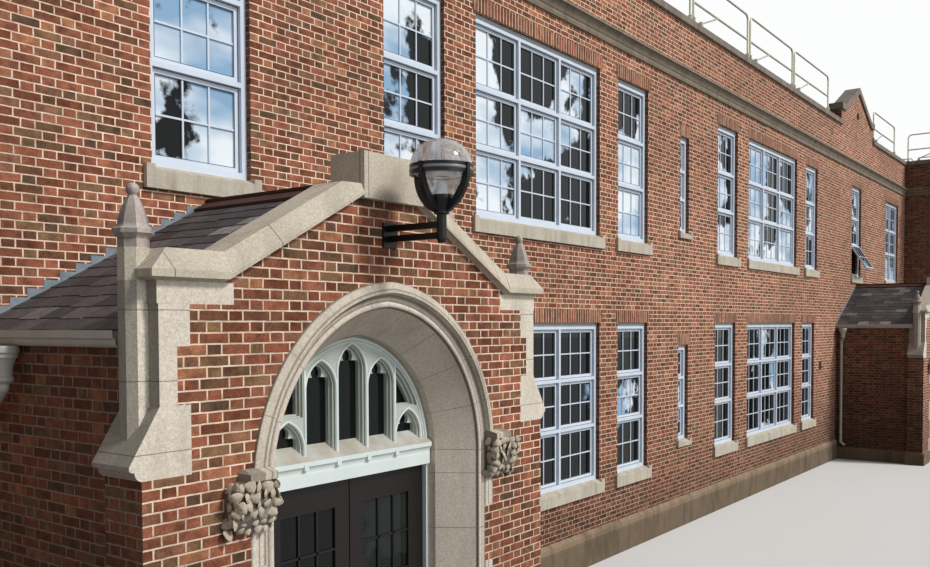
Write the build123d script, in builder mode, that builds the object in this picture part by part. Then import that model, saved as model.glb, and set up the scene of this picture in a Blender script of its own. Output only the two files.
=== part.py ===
from build123d import *
import os
from math import asin, cos, degrees, radians, sin, sqrt, tan

os.makedirs("parts", exist_ok=True)

# Frame: +X runs along the front to the right, +Y into the building, +Z up, the ground at 0.
# The origin is under the middle of the main range. Sizes are millimetres.

# Main range and wing
left_face = -18800
wing_face = 13930
right_face = 18930
front_face = -5400
back_face = 5400
wing_front = -8400
wall = 340
bed_joint = 0.5
run_joint = 2

# Levels of the main range, each worked out from the one below it
floor_top = 150
base_top = 330
plinth_top = 530
plinth_out = 50
lower_sill = 1275
lower_window = 2440
head_to_ceiling = 85
head_to_roof = 180
deck_thick = 300
floor_to_sill = 965
upper_window = 2555
head_to_string = 437
string_tall = 273
parapet_tall = 785
coping_tall = 175
lower_head = lower_sill + lower_window
storey_split = lower_head
ceiling_lower = lower_head + head_to_ceiling
floor_upper = ceiling_lower + deck_thick
upper_sill = floor_upper + floor_to_sill
upper_head = upper_sill + upper_window
ceiling_upper = upper_head + head_to_roof
roof_top = ceiling_upper + deck_thick
string_bottom = upper_head + head_to_string
string_top = string_bottom + string_tall
coping_bottom = string_top + parapet_tall
coping_top = coping_bottom + coping_tall
string_out = 110
coping_out = 55
parapet_thick = 300

# Windows
sill_height = 205
sill_out = 50
sill_beyond = 85
sill_fall = 45
reveal = 62
frame_deep = 60
frame_wide = 60
frame_head = 100
bar_wide = 48
sash_wide = 50
sash_back = 41
glass_thick = 8
lower_transoms = (0.35, 0.65)
upper_transoms = (0.345, 0.642)

# Porches: the ridge lies below the sills over it, and the other heights hang from the ridge
porch_centres = (-15295, 7520)
porch_front = -7590
porch_half = 2150
porch_arris = 2025
porch_side = 2045
side_wall = 280
gable_wall = 380
cope_deep = 280
roof_edge = 2055
roof_thick = 75
cope_pitch = 28.5
roof_ridge_top = upper_sill - 315
roof_edge_top = roof_ridge_top - 1095
cope_low = roof_ridge_top + 47
cope_up = cope_low + 193
kneeler_low = cope_low - 839
kneeler_block = kneeler_low - 138
quoin_split = kneeler_block - 254
weathering_low = kneeler_low - 1168
weathering_top = weathering_low + 425

# Arch, measured from its inner edge outwards and from the porch front inwards
arch_half = 948
arch_offset = 65
spring = weathering_low - 185
stone_band = 401
recess = 400
arch_stones = 6
jamb_stone = 490
jamb_levels = [floor_top + jamb_stone * i for i in range(5)] + [spring]

# Doors
door_half = 915
door_head = 2486
screen_deep = 85
ledge_front = door_head + 189
ledge_back = door_head + 294
inner_door_half = 1100
inner_door_head = 2500

# Gablets on the parapet
gablet_half = 1750
gablet_shoulder = coping_top + 270
gablet_pitch = 27
gablet_flat = 300
gablet_cope = 170
gablet_hole = 190


def block(x0, x1, y0, y1, z0, z1):
    """A plain block between two corners."""
    with BuildPart() as made:
        with Locations(((x0 + x1) / 2, (y0 + y1) / 2, z0)):
            Box(x1 - x0, y1 - y0, z1 - z0, align=(Align.CENTER, Align.CENTER, Align.MIN))
    return made.part


def write(name, pieces):
    """One file for a sub-part, of one or more separate solids."""
    solids = [s for piece in pieces for s in piece.solids()]
    whole = solids[0] if len(solids) == 1 else Compound(children=solids)
    whole.label = name
    export_step(whole, "parts/" + name + ".step")


def at_porches(pieces):
    """Copies of pieces drawn about x = 0, one set to a porch."""
    return [piece.moved(Location((c, 0, 0))) for c in porch_centres for piece in pieces]


def both_hands(pieces):
    """Pieces of the right-hand side and their mirror images."""
    return list(pieces) + [mirror(piece, about=Plane.YZ) for piece in pieces]


# Wall planes: x runs along the wall, y up, and the normal points outwards
front_plane = Plane(origin=(0, front_face, 0), x_dir=(1, 0, 0), z_dir=(0, -1, 0))
back_plane = Plane(origin=(0, back_face, 0), x_dir=(-1, 0, 0), z_dir=(0, 1, 0))
left_plane = Plane(origin=(left_face, 0, 0), x_dir=(0, -1, 0), z_dir=(-1, 0, 0))
right_plane = Plane(origin=(right_face, 0, 0), x_dir=(0, 1, 0), z_dir=(1, 0, 0))
wing_plane = Plane(origin=(0, wing_front, 0), x_dir=(1, 0, 0), z_dir=(0, -1, 0))
wing_side_plane = Plane(origin=(wing_face, 0, 0), x_dir=(0, -1, 0), z_dir=(-1, 0, 0))
porch_plane = Plane(origin=(0, porch_front, 0), x_dir=(1, 0, 0), z_dir=(0, -1, 0))


def panel(plane, sketch, depth, start=0):
    """A sketch on a wall plane made a panel that begins some way behind the plane."""
    with BuildPart() as made:
        with BuildSketch(plane.offset(-start)):
            add(sketch)
        extrude(amount=-depth)
    return made.part


def rectangle(x0, x1, z0, z1):
    """A rectangle between two corners of a wall plane."""
    with BuildSketch() as made:
        with Locations(((x0 + x1) / 2, (z0 + z1) / 2)):
            Rectangle(x1 - x0, z1 - z0)
    return made.sketch


# Windows: (centre, width, lights wide), from left to right seen from outside
front_upper = [
    (-15316, 1075, 1), (-12356, 1090, 1), (-9557, 3240, 3), (-6790, 1085, 1), (-4729, 390, 1),
    (-2590, 1065, 1), (250, 3300, 3), (3100, 1000, 1), (7486, 1020, 1), (12010, 1820, 2),
]
front_lower = [
    (-12356, 1090, 1), (-9557, 3240, 3), (-6800, 1090, 1), (-4758, 430, 1),
    (-2680, 1100, 1), (185, 3220, 3), (2895, 1005, 1), (12010, 1820, 2),
]
back_row = [
    (-16430, 1860, 2), (-11790, 1860, 2), (-7500, 3240, 3), (-2860, 1060, 1), (-70, 3240, 3),
    (2720, 1060, 1), (6875, 1060, 1), (9660, 3240, 3), (12450, 1060, 1), (16200, 1860, 2),
]
left_row = [(-2600, 1860, 2), (2600, 1860, 2)]
right_row = [(-5600, 1860, 2), (-1500, 1860, 2), (2600, 1860, 2)]
wing_row = [(16430, 1860, 2)]
open_window = front_upper[8]
slit_width = 500
slit_rise = 300
slit_drops = (405, 530)
slit_sill_height = 120


def levels_of(place, lower):
    """Bottom, top and sill height of a window: the narrow ones are short."""
    bottom, top = (lower_sill, lower_head) if lower else (upper_sill, upper_head)
    if place[1] < slit_width:
        return bottom + slit_rise, top - slit_drops[0 if lower else 1], slit_sill_height
    return bottom, top, sill_height


def elevation(lows, highs, x0, x1, z0, z1):
    """A wall's elevation with its windows and the seats of their sills cut through."""
    with BuildSketch() as made:
        add(rectangle(x0, x1, z0, z1))
        for row, lower in ((lows, True), (highs, False)):
            for place in row:
                bottom, top, tall = levels_of(place, lower)
                half = place[1] / 2
                ends = half + sill_beyond
                add(rectangle(place[0] - half, place[0] + half, bottom, top), mode=Mode.SUBTRACT)
                add(rectangle(place[0] - ends, place[0] + ends, bottom - tall, bottom), mode=Mode.SUBTRACT)
    return made.sketch


# Floors and roof deck: concrete, cast in two bays that meet at the wing
def deck(z0, z1):
    bay_joint = 5
    return [
        block(left_face + wall, right_face - wall, front_face + wall, back_face - wall, z0, z1),
        block(wing_face + wall, right_face - wall, wing_front + wall, front_face + wall - bay_joint, z0, z1),
    ]


write("ground_floor", deck(0, floor_top))
write("upper_floor", deck(ceiling_lower, floor_upper))
write("roof_deck", deck(ceiling_upper, roof_top))

# Front wall: brick, below in three lengths with a lintel over each inner doorway, above in one
doorways = [(c - inner_door_half, c + inner_door_half) for c in porch_centres]
front_end = wing_face + wall
lengths = [(left_face, doorways[0][0]), (doorways[0][1], doorways[1][0]), (doorways[1][1], front_end)]
lower_lengths = []
for x0, x1 in lengths:
    places = [p for p in front_lower if x0 < p[0] < x1]
    lower_lengths.append(panel(front_plane, elevation(places, [], x0, x1, plinth_top, storey_split), wall))
for x0, x1 in doorways:
    lower_lengths.append(block(
        x0 + run_joint, x1 - run_joint, front_face, front_face + wall, inner_door_head, storey_split))
write("front_wall_lower", lower_lengths)
write("front_wall_upper", [panel(
    front_plane, elevation([], front_upper, left_face, front_end, storey_split, string_bottom), wall)])

# Other outer walls: brick, the ends set between front and back
write("left_end_wall", [panel(left_plane, elevation(
    left_row, left_row, wall - back_face, -front_face - wall, plinth_top, string_bottom), wall)])
write("back_wall", [panel(back_plane, elevation(
    back_row, back_row, -right_face, -left_face, plinth_top, string_bottom), wall)])
write("right_end_wall", [panel(right_plane, elevation(
    right_row, right_row, wing_front + wall, back_face - wall, plinth_top, string_bottom), wall)])
write("wing_walls", [
    panel(wing_plane, elevation(wing_row, wing_row, wing_face, right_face, plinth_top, string_bottom), wall),
    panel(wing_side_plane, elevation(
        [], [], -front_face, -wing_front - wall - run_joint, plinth_top, string_bottom), wall),
])

# Bands round the building: each side's length is its section drawn out and mitred at the corners
outline = [
    (left_face, front_face), (wing_face, front_face), (wing_face, wing_front),
    (right_face, wing_front), (right_face, back_face), (left_face, back_face),
]
outward = [(0, -1), (-1, 0), (0, -1), (1, 0), (0, 1), (-1, 0)]
mitre_reach = 500


def band(section, cuts=(), notches=()):
    """Lengths of a band with the given section, less whole cuts and shallow notches on the front."""
    lengths_made = []
    for i in range(len(outline)):
        start = Vector(*outline[i])
        end = Vector(*outline[(i + 1) % len(outline)])
        along = (end - start).normalized()
        out = Vector(*outward[i])
        before = Vector(*outward[i - 1])
        after = Vector(*outward[(i + 1) % len(outline)])
        gap = along * run_joint
        section_plane = Plane(origin=start - along * mitre_reach, x_dir=out, z_dir=-along)
        with BuildPart() as length:
            with BuildSketch(section_plane):
                add(section)
            extrude(amount=-((end - start).length + 2 * mitre_reach))
            with BuildSketch(Plane.XY):
                with BuildLine():
                    Polyline(
                        start + (out + before) * mitre_reach + gap, end + (out + after) * mitre_reach - gap,
                        end - (out + after) * mitre_reach - gap, start - (out + before) * mitre_reach + gap,
                        close=True)
                make_face()
            extrude(amount=2 * coping_top, mode=Mode.INTERSECT)
            if i == 0:
                for x0, x1 in cuts:
                    with Locations(((x0 + x1) / 2, front_face, 0)):
                        Box(x1 - x0, 2 * mitre_reach, 3 * coping_top, mode=Mode.SUBTRACT)
                for x0, x1 in notches:
                    with Locations(((x0 + x1) / 2, front_face, 0)):
                        Box(x1 - x0, mitre_reach, 3 * coping_top, align=(Align.CENTER, Align.MAX, Align.CENTER),
                            mode=Mode.SUBTRACT)
        lengths_made.append(length.part)
    return lengths_made


# Plinth: rendered base with a chamfered stone course on it
with BuildSketch() as plinth_section:
    with BuildLine():
        Polyline((-wall, 0), (plinth_out, 0), (plinth_out, plinth_top - 55), (0, plinth_top), (-wall, plinth_top),
                 close=True)
    make_face()
porch_widths = [(c - porch_side, c + porch_side) for c in porch_centres]
stone_long = arch_half + stone_band + 8
base_out = 38
with BuildPart() as porch_base:
    with BuildLine() as base_run:
        Polyline((stone_long + run_joint, porch_front, 0), (porch_half, porch_front, 0),
                 (porch_half, porch_front + gable_wall, 0), (porch_side, porch_front + gable_wall, 0),
                 (porch_side, front_face - plinth_out - run_joint, 0))
    with BuildSketch(Plane(origin=base_run.line @ 0, x_dir=(0, -1, 0), z_dir=(-1, 0, 0))):
        with BuildLine():
            Polyline((bed_joint, 0), (base_out, 0), (base_out, base_top - base_out), (bed_joint, base_top),
                     close=True)
        make_face()
    sweep(path=base_run.line, transition=Transition.RIGHT)
write("plinth", band(plinth_section.sketch, doorways, porch_widths) + at_porches(both_hands([porch_base.part])))

# String course: stone, a fillet under a deep hollow and a weathered fascia over it
string_foot = 34
string_fillet = 45
string_fascia = 40
string_weather = 28
with BuildSketch() as string_section:
    with BuildLine():
        Polyline((0, string_top), (-wall, string_top), (-wall, string_bottom), (string_foot, string_bottom),
                 (string_foot, string_bottom + string_fillet),
                 (string_foot - 12, string_bottom + string_fillet + 7))
        RadiusArc((string_foot - 12, string_bottom + string_fillet + 7),
                  (string_out - 8, string_top - string_weather - string_fascia - 5), 170)
        Polyline((string_out - 8, string_top - string_weather - string_fascia - 5),
                 (string_out, string_top - string_weather - string_fascia), (string_out, string_top - string_weather),
                 (0, string_top))
    make_face()
write("string_course", band(string_section.sketch))

# Parapet: brick, with a shouldered gablet over each porch that has a small square hole
gablets_at = [(c - gablet_half - run_joint, c + gablet_half + run_joint) for c in porch_centres]
gablet_rise = (gablet_half - gablet_flat) * tan(radians(gablet_pitch))
with BuildSketch() as parapet_section:
    add(rectangle(-parapet_thick, 0, string_top, coping_bottom))
with BuildPart() as gablet:
    with BuildSketch(front_plane):
        with BuildLine():
            Polyline((-gablet_half, string_top), (gablet_half, string_top), (gablet_half, gablet_shoulder),
                     (gablet_half - gablet_flat, gablet_shoulder), (0, gablet_shoulder + gablet_rise),
                     (gablet_flat - gablet_half, gablet_shoulder), (-gablet_half, gablet_shoulder), close=True)
        make_face()
        with Locations((0, gablet_shoulder + gablet_hole / 2)):
            Rectangle(gablet_hole, gablet_hole, mode=Mode.SUBTRACT)
    extrude(amount=-parapet_thick)
write("parapet", band(parapet_section.sketch, gablets_at) + at_porches([gablet.part]))

# Coping: weathered stone on the parapet, raking between square kneelers on the gablets
with BuildSketch() as coping_section:
    with BuildLine():
        Polyline((-parapet_thick - coping_out, coping_bottom), (-parapet_thick - coping_out, coping_top - 45),
                 (-parapet_thick / 2, coping_top), (coping_out, coping_top - 45), (coping_out, coping_bottom + 12),
                 (coping_out - 20, coping_bottom + 12), (coping_out - 20, coping_bottom), close=True)
    make_face()
kneeler_out = 60
with BuildPart() as gablet_top:
    with BuildSketch(front_plane.offset(coping_out)):
        with BuildLine():
            Polyline((-gablet_half - kneeler_out, gablet_shoulder), (gablet_flat - gablet_half, gablet_shoulder),
                     (0, gablet_shoulder + gablet_rise), (gablet_half - gablet_flat, gablet_shoulder),
                     (gablet_half + kneeler_out, gablet_shoulder),
                     (gablet_half + kneeler_out, gablet_shoulder + gablet_cope),
                     (gablet_half - gablet_flat, gablet_shoulder + gablet_cope),
                     (0, gablet_shoulder + gablet_cope + gablet_rise),
                     (gablet_flat - gablet_half, gablet_shoulder + gablet_cope),
                     (-gablet_half - kneeler_out, gablet_shoulder + gablet_cope), close=True)
        make_face()
    extrude(amount=-parapet_thick - 2 * coping_out)
write("parapet_coping", band(coping_section.sketch, gablets_at) + at_porches([gablet_top.part]))


# Windows: painted box frames in three tiers, each light with a sash set back in it, a sheet of glass
# behind, and a stone sill with a raised end under each jamb
def frame_face(place, levels, edge):
    """A frame's face: outer members, mullions and two transoms, all widened by an edge."""
    centre, width, lights = place
    light = (width - 2 * frame_wide - bar_wide * (lights - 1)) / lights
    with BuildSketch() as made:
        add(rectangle(centre - width / 2, centre + width / 2, levels[0], levels[3]))
        for i in range(lights):
            x0 = centre - width / 2 + frame_wide + i * (light + bar_wide)
            for t in range(3):
                z0 = levels[t] + (frame_wide if t == 0 else bar_wide / 2)
                z1 = levels[t + 1] - (frame_head if t == 2 else bar_wide / 2)
                add(rectangle(x0 + edge, x0 + light - edge, z0 + edge, z1 - edge), mode=Mode.SUBTRACT)
    return made.sketch


def tiers(bottom, top, lower):
    """Levels of a window's bottom, transoms and top."""
    shares = lower_transoms if lower else upper_transoms
    return [bottom, bottom + (top - bottom) * shares[0], bottom + (top - bottom) * shares[1], top]


wall_rows = [
    (front_plane, front_lower, front_upper), (back_plane, back_row, back_row), (left_plane, left_row, left_row),
    (right_plane, right_row, right_row), (wing_plane, wing_row, wing_row),
]
frames = []
panes = []
sills = []
for plane, lows, highs in wall_rows:
    for row, lower in ((lows, True), (highs, False)):
        for place in row:
            bottom, top, tall = levels_of(place, lower)
            x0 = place[0] - place[1] / 2
            x1 = place[0] + place[1] / 2
            levels = tiers(bottom, top, lower)
            opened = plane is front_plane and not lower and place == open_window
            with BuildPart() as frame:
                add(panel(plane, frame_face(place, levels, 0), frame_deep, reveal))
                with BuildPart(mode=Mode.ADD):
                    add(panel(plane, frame_face(place, levels, sash_wide), frame_deep - sash_back, reveal + sash_back))
                    if opened:
                        light_half = place[1] / 2 - frame_wide
                        add(panel(plane, rectangle(
                            place[0] - light_half, place[0] + light_half, bottom + frame_wide,
                            levels[1] - bar_wide / 2), wall, 0), mode=Mode.SUBTRACT)
            frames.append(frame.part)
            lowest = levels[1] if opened else bottom
            panes.append(panel(plane, rectangle(x0, x1, lowest, top), glass_thick, reveal + frame_deep))
            sill_end = plane.origin + plane.x_dir * (x0 - sill_beyond)
            with BuildPart() as sill:
                with BuildSketch(Plane(origin=sill_end, x_dir=plane.z_dir, z_dir=-plane.x_dir)):
                    with BuildLine():
                        Polyline((-wall, bottom - tall), (sill_out, bottom - tall), (sill_out, bottom - sill_fall),
                                 (-reveal, bottom), (-wall, bottom), close=True)
                    make_face()
                extrude(amount=-(x1 - x0 + 2 * sill_beyond))
                with BuildSketch(plane.offset(sill_out)):
                    add(rectangle(x0 - sill_beyond, x0, bottom - tall, bottom))
                    add(rectangle(x1, x1 + sill_beyond, bottom - tall, bottom))
                extrude(amount=-wall)
            sills.append(sill.part)
write("window_frames", frames)
write("window_sills", sills)

# Open light: the bottom sash over the far porch hangs from its top rail, tilted outwards, with its own glass
sash_tilt = 32
sash_edge = 45
sash_deep = 40
sash_top = tiers(upper_sill, upper_head, False)[1] - bar_wide / 2 - 4
sash_low = upper_sill + frame_wide + 6
sash_half = open_window[1] / 2 - frame_wide - 6
sash_plane = Plane(origin=(open_window[0], front_face + reveal, sash_top), x_dir=(1, 0, 0),
                   z_dir=(0, -cos(radians(sash_tilt)), sin(radians(sash_tilt))))
with BuildPart() as sash:
    with BuildSketch(sash_plane):
        add(rectangle(-sash_half, sash_half, sash_low - sash_top, 0))
        add(rectangle(-sash_half + sash_edge, sash_half - sash_edge, sash_low - sash_top + sash_edge, -sash_edge),
            mode=Mode.SUBTRACT)
    extrude(amount=sash_deep)
    # hinge block between the sash's top edge and the frame's bar above
    with Locations((open_window[0], front_face + reveal - 12, sash_top + 12)):
        Box(2 * sash_half - 200, 24, 44)
write("open_window_light", [sash.part])
with BuildPart() as sash_glass:
    with BuildSketch(sash_plane.offset(sash_deep / 2)):
        add(rectangle(-sash_half + sash_edge, sash_half - sash_edge, sash_low - sash_top + sash_edge, -sash_edge))
    extrude(amount=5)
write("window_glass", panes + [sash_glass.part])

# Porch floors: concrete, running through the arch and the inner doorway
with BuildPart() as porch_floor:
    with BuildSketch():
        add(rectangle(side_wall - porch_side, porch_side - side_wall, porch_front + recess, front_face))
        add(rectangle(2 - arch_half, arch_half - 2, porch_front, porch_front + recess + 1))
        add(rectangle(-inner_door_half, inner_door_half, front_face - 1, front_face + wall))
    extrude(amount=floor_top)
write("porch_floors", at_porches([porch_floor.part]))

# Porch side walls: brick, set in from the corner piers, their tops cut to the slope of the roof
roof_slope = (roof_ridge_top - roof_edge_top) / roof_edge


def roof_level(x):
    """Level of the slates' top at a distance from the middle of the porch."""
    return roof_ridge_top - roof_slope * x


wall_inner = porch_side - side_wall
with BuildPart() as side:
    with BuildSketch(porch_plane.offset(-gable_wall)):
        with BuildLine():
            Polyline((wall_inner, 0), (porch_side, 0), (porch_side, roof_level(porch_side) - roof_thick - bed_joint),
                     (wall_inner, roof_level(wall_inner) - roof_thick - bed_joint), close=True)
        make_face()
    extrude(amount=-(front_face - porch_front - gable_wall))
write("porch_side_walls", at_porches(both_hands([side.part])))

# Front piers: brick, from the ground to the springing, beside the dressed stones of the arch
stone_short = stone_long - 123
with BuildPart() as pier:
    with BuildSketch(porch_plane):
        add(rectangle(stone_short, porch_half, 0, spring))
        for i in range(len(jamb_levels) - 1):
            if i % 2 == 0:
                low = jamb_levels[i] if i else 0
                add(rectangle(stone_short, stone_long, low, jamb_levels[i + 1]), mode=Mode.SUBTRACT)
    extrude(amount=-gable_wall)
write("porch_front_piers", at_porches(both_hands([pier.part])))

# Gable brickwork over the arch, notched round the corner stones, up to the coping's underside
quoin_short = 125
quoin_long = 218
block_in = 1475
cope_slope = tan(radians(cope_pitch))
kneeler_in = (cope_low - kneeler_low) / cope_slope
arch_radius = arch_half + arch_offset
outer_radius = arch_radius + stone_band


def arch_face(radius, low):
    """The pointed arch as a closed face, from a level up, about x = 0."""
    half = radius - arch_offset
    top = spring + sqrt(radius * radius - arch_offset * arch_offset)
    with BuildSketch() as made:
        with BuildLine():
            Polyline((-half, spring), (-half, 0), (half, 0), (half, spring))
            RadiusArc((half, spring), (0, top), -radius)
            RadiusArc((0, top), (-half, spring), -radius)
        make_face()
        add(rectangle(-radius, radius, low, top), mode=Mode.INTERSECT)
    return made.sketch


apex_half = 335
apex_low = cope_low - apex_half * cope_slope
apex_top = cope_up - 35
kneeler_top = kneeler_low + cope_up - cope_low
with BuildPart() as gable:
    with BuildSketch(porch_plane):
        with BuildLine():
            Polyline((0, spring), (porch_half, spring), (porch_half, weathering_low), (porch_arris, weathering_low),
                     (porch_arris, kneeler_block), (block_in, kneeler_block), (block_in, kneeler_low),
                     (kneeler_in, kneeler_low), (apex_half, apex_low), (0, apex_low), close=True)
        make_face()
        for inner, z0, z1 in ((quoin_long, weathering_low, weathering_top), (quoin_short, weathering_top, quoin_split),
                              (quoin_long, quoin_split, kneeler_block)):
            add(rectangle(porch_arris - inner, porch_arris, z0, z1), mode=Mode.SUBTRACT)
        mirror(about=Plane.YZ)
        add(arch_face(outer_radius, spring - 10), mode=Mode.SUBTRACT)
    extrude(amount=-cope_deep)
    # behind the corner stones and the coping the wall goes on up to the slates only
    with BuildSketch(porch_plane.offset(-cope_deep)):
        with BuildLine():
            Polyline((0, spring), (porch_arris, spring), (porch_arris, roof_level(porch_arris) - roof_thick - bed_joint),
                     (0, roof_level(0) - roof_thick - bed_joint), close=True)
        make_face()
        add(rectangle(porch_arris, porch_half, spring, weathering_low))
        add(rectangle(porch_arris - quoin_long, porch_arris, weathering_low, weathering_top), mode=Mode.SUBTRACT)
        add(rectangle(porch_arris - quoin_short, porch_arris, weathering_top, quoin_split), mode=Mode.SUBTRACT)
        mirror(about=Plane.YZ)
        add(arch_face(outer_radius, spring - 10), mode=Mode.SUBTRACT)
    extrude(amount=cope_deep - gable_wall)
write("porch_gables", at_porches([gable.part]))

# Corner shaft: an eight-sided shaft set on the corner, its diagonal faces the wide ones
shaft_x = 2060
shaft_y = porch_front + 186
shaft_half = 85
shaft_flat = 38


def shaft_plan(half):
    """Plan of the shaft, scaled by its half width."""
    flat = shaft_flat * half / shaft_half
    points = [(half, -flat), (half, flat), (flat, half), (-flat, half),
              (-half, flat), (-half, -flat), (-flat, -half), (flat, -half)]
    with BuildSketch() as made:
        with BuildLine():
            Polyline(*points, close=True)
        make_face()
    return made.sketch


def with_shaft(piece, z0, z1):
    """A corner stone joined to its length of the shaft."""
    with BuildPart() as made:
        add(piece)
        with BuildSketch(Plane(origin=(shaft_x, shaft_y, z0))):
            add(shaft_plan(shaft_half))
        extrude(amount=z1 - z0)
    return made.part


# Weathering stone: its outer face slopes out from the arris over the wider pier, with an ovolo below
nose_x = 2232
nose_z = weathering_low + 92
with BuildPart() as weathering:
    with BuildSketch(porch_plane):
        with BuildLine():
            Polyline((porch_half, weathering_low), (porch_arris - quoin_long, weathering_low),
                     (porch_arris - quoin_long, weathering_top - bed_joint), (porch_arris, weathering_top - bed_joint),
                     (nose_x, nose_z), (nose_x, nose_z - 22), (nose_x - 18, nose_z - 34),
                     (nose_x - 34, nose_z - 34))
            RadiusArc((nose_x - 34, nose_z - 34), (porch_half, weathering_low), 60)
        make_face()
    extrude(amount=-gable_wall)
    with BuildSketch(Plane(origin=(shaft_x, shaft_y, weathering_low + 100))):
        add(shaft_plan(shaft_half))
    extrude(amount=weathering_top - bed_joint - weathering_low - 100)
corner_stones = [weathering.part]
for x0, x1, deep, z0, z1 in (
    (porch_arris - quoin_short, porch_arris, gable_wall, weathering_top, quoin_split),
    (porch_arris - quoin_long, porch_arris, cope_deep - bed_joint, quoin_split, kneeler_block),
    (block_in, porch_arris + 10, cope_deep - bed_joint, kneeler_block, kneeler_low),
):
    top = z1 - bed_joint
    corner_stones.append(with_shaft(block(x0, x1, porch_front, porch_front + deep, z0, top), z0, top))
write("corner_stones", at_porches(both_hands(corner_stones)))

# Gable coping: stones with a steep wash over a narrow nose, a kneeler at each foot and a block at the apex
cope_nose = 62
cope_fillet = 18
cope_wash = 130


def cope_section(thick):
    """Section of the coping: x outwards from the porch front, y square to the bed."""
    with BuildSketch() as made:
        with BuildLine():
            Polyline((0, 0), (bed_joint - cope_deep, 0), (bed_joint - cope_deep, thick), (0, thick),
                     (cope_nose, thick - cope_wash), (cope_nose, cope_fillet), (cope_nose - 10, cope_fillet))
            RadiusArc((cope_nose - 10, cope_fillet), (0, 0), -90)
        make_face()
    return made.sketch


rake_angle = radians(cope_pitch)
rake_down = Vector(cos(rake_angle), 0, -sin(rake_angle))
rake_foot = Vector(kneeler_in, porch_front, kneeler_low)
rake_long = (kneeler_in - apex_half) / cos(rake_angle)
with BuildPart() as kneeler:
    with BuildSketch(Plane(origin=rake_foot + rake_down * 200, x_dir=(0, -1, 0), z_dir=-rake_down)):
        add(cope_section((cope_up - cope_low) * cos(rake_angle)))
    extrude(amount=rake_long + 400)
    with Locations(((apex_half + kneeler_in) / 2, porch_front, kneeler_low)):
        Box(kneeler_in - apex_half, 4 * gable_wall, 4 * gable_wall, mode=Mode.INTERSECT)
    with BuildPart() as level_part:
        with BuildSketch(Plane(origin=(kneeler_in, porch_front, kneeler_low), x_dir=(0, -1, 0), z_dir=(-1, 0, 0))):
            add(cope_section(kneeler_top - kneeler_low))
        extrude(amount=-(porch_arris + 100 - kneeler_in))
        with BuildSketch(porch_plane.offset(2 * cope_nose)):
            with BuildLine():
                Polyline((kneeler_in, kneeler_low), (porch_arris + 10, kneeler_low),
                         (porch_arris + 73, kneeler_low + cope_fillet), (porch_arris + 81, kneeler_low + cope_fillet),
                         (porch_arris + 81, kneeler_top - cope_wash), (porch_arris - 56, kneeler_top),
                         (kneeler_in, kneeler_top), close=True)
            make_face()
        extrude(amount=-gable_wall - 4 * cope_nose, mode=Mode.INTERSECT)
        with BuildSketch(Plane(origin=(shaft_x, shaft_y, kneeler_low))):
            add(shaft_plan(shaft_half))
        extrude(amount=kneeler_top - kneeler_low)
apex_stone = block(bed_joint - apex_half, apex_half - bed_joint, porch_front - cope_nose,
                   porch_front + cope_deep - bed_joint, apex_low, apex_top)
write("porch_copings", at_porches(both_hands([kneeler.part]) + [apex_stone]))

# Pinnacles: a moulded cap, a hollow-sided spirelet and a ball, the shaft's eight sides kept throughout
cap_low = kneeler_top + 54
cap_half = 112
foot_half = 84
neck_z = cap_low + 259
neck_half = 22
ball_z = neck_z + 30
ball_r = 40
pin_low = kneeler_top + bed_joint
with BuildSketch() as pinnacle_half:
    with BuildLine():
        Polyline((0, pin_low), (shaft_half, pin_low), (shaft_half, cap_low))
        RadiusArc((shaft_half, cap_low), (cap_half, cap_low + 28), 40)
        Polyline((cap_half, cap_low + 28), (cap_half, cap_low + 54), (cap_half - 10, cap_low + 60))
        RadiusArc((cap_half - 10, cap_low + 60), (foot_half, cap_low + 86), 50)
        RadiusArc((foot_half, cap_low + 86), (neck_half, neck_z), -420)
        Polyline((neck_half, neck_z), (0, neck_z), (0, pin_low))
    make_face()
    mirror(about=Plane.YZ)
diagonal_share = (shaft_half + shaft_flat) / sqrt(2) / shaft_half
with BuildPart() as pinnacle:
    with BuildSketch(Plane(origin=(shaft_x, shaft_y, 0), x_dir=(1, 0, 0), z_dir=(0, -1, 0))):
        add(pinnacle_half.sketch)
    extrude(amount=cap_half + 10, both=True)
    for turn, share in ((90, 1), (45, diagonal_share), (135, diagonal_share)):
        with BuildPart(mode=Mode.INTERSECT):
            with BuildSketch(Plane(origin=(shaft_x, shaft_y, 0), x_dir=(cos(radians(turn)), sin(radians(turn)), 0),
                                   z_dir=(sin(radians(turn)), -cos(radians(turn)), 0))):
                add(pinnacle_half.sketch)
            extrude(amount=2 * cap_half, both=True)
    with Locations((shaft_x, shaft_y, ball_z)):
        Sphere(ball_r)
write("pinnacles", at_porches(both_hands([pinnacle.part])))

# Arch stones: the section is splayed from the face to the screen, with a roll and a hollow at the arris
square_deep = 75
splay_u = 200
splay_v = 34
roll_u = 250
hollow_u = 284


def arch_section(outer):
    """Section of the surround: x from the inner edge outwards, y from the porch front inwards."""
    with BuildSketch() as made:
        with BuildLine():
            Polyline((0, recess), (0, recess - square_deep), (splay_u, splay_v), (splay_u + 6, splay_v - 8),
                     (splay_u + 6, 18))
            RadiusArc((splay_u + 6, 18), (roll_u, 14), -24)
            RadiusArc((roll_u, 14), (hollow_u, 0), 34)
            Polyline((hollow_u, 0), (outer, 0), (outer, recess), (0, recess))
        make_face()
    return made.sketch


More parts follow.
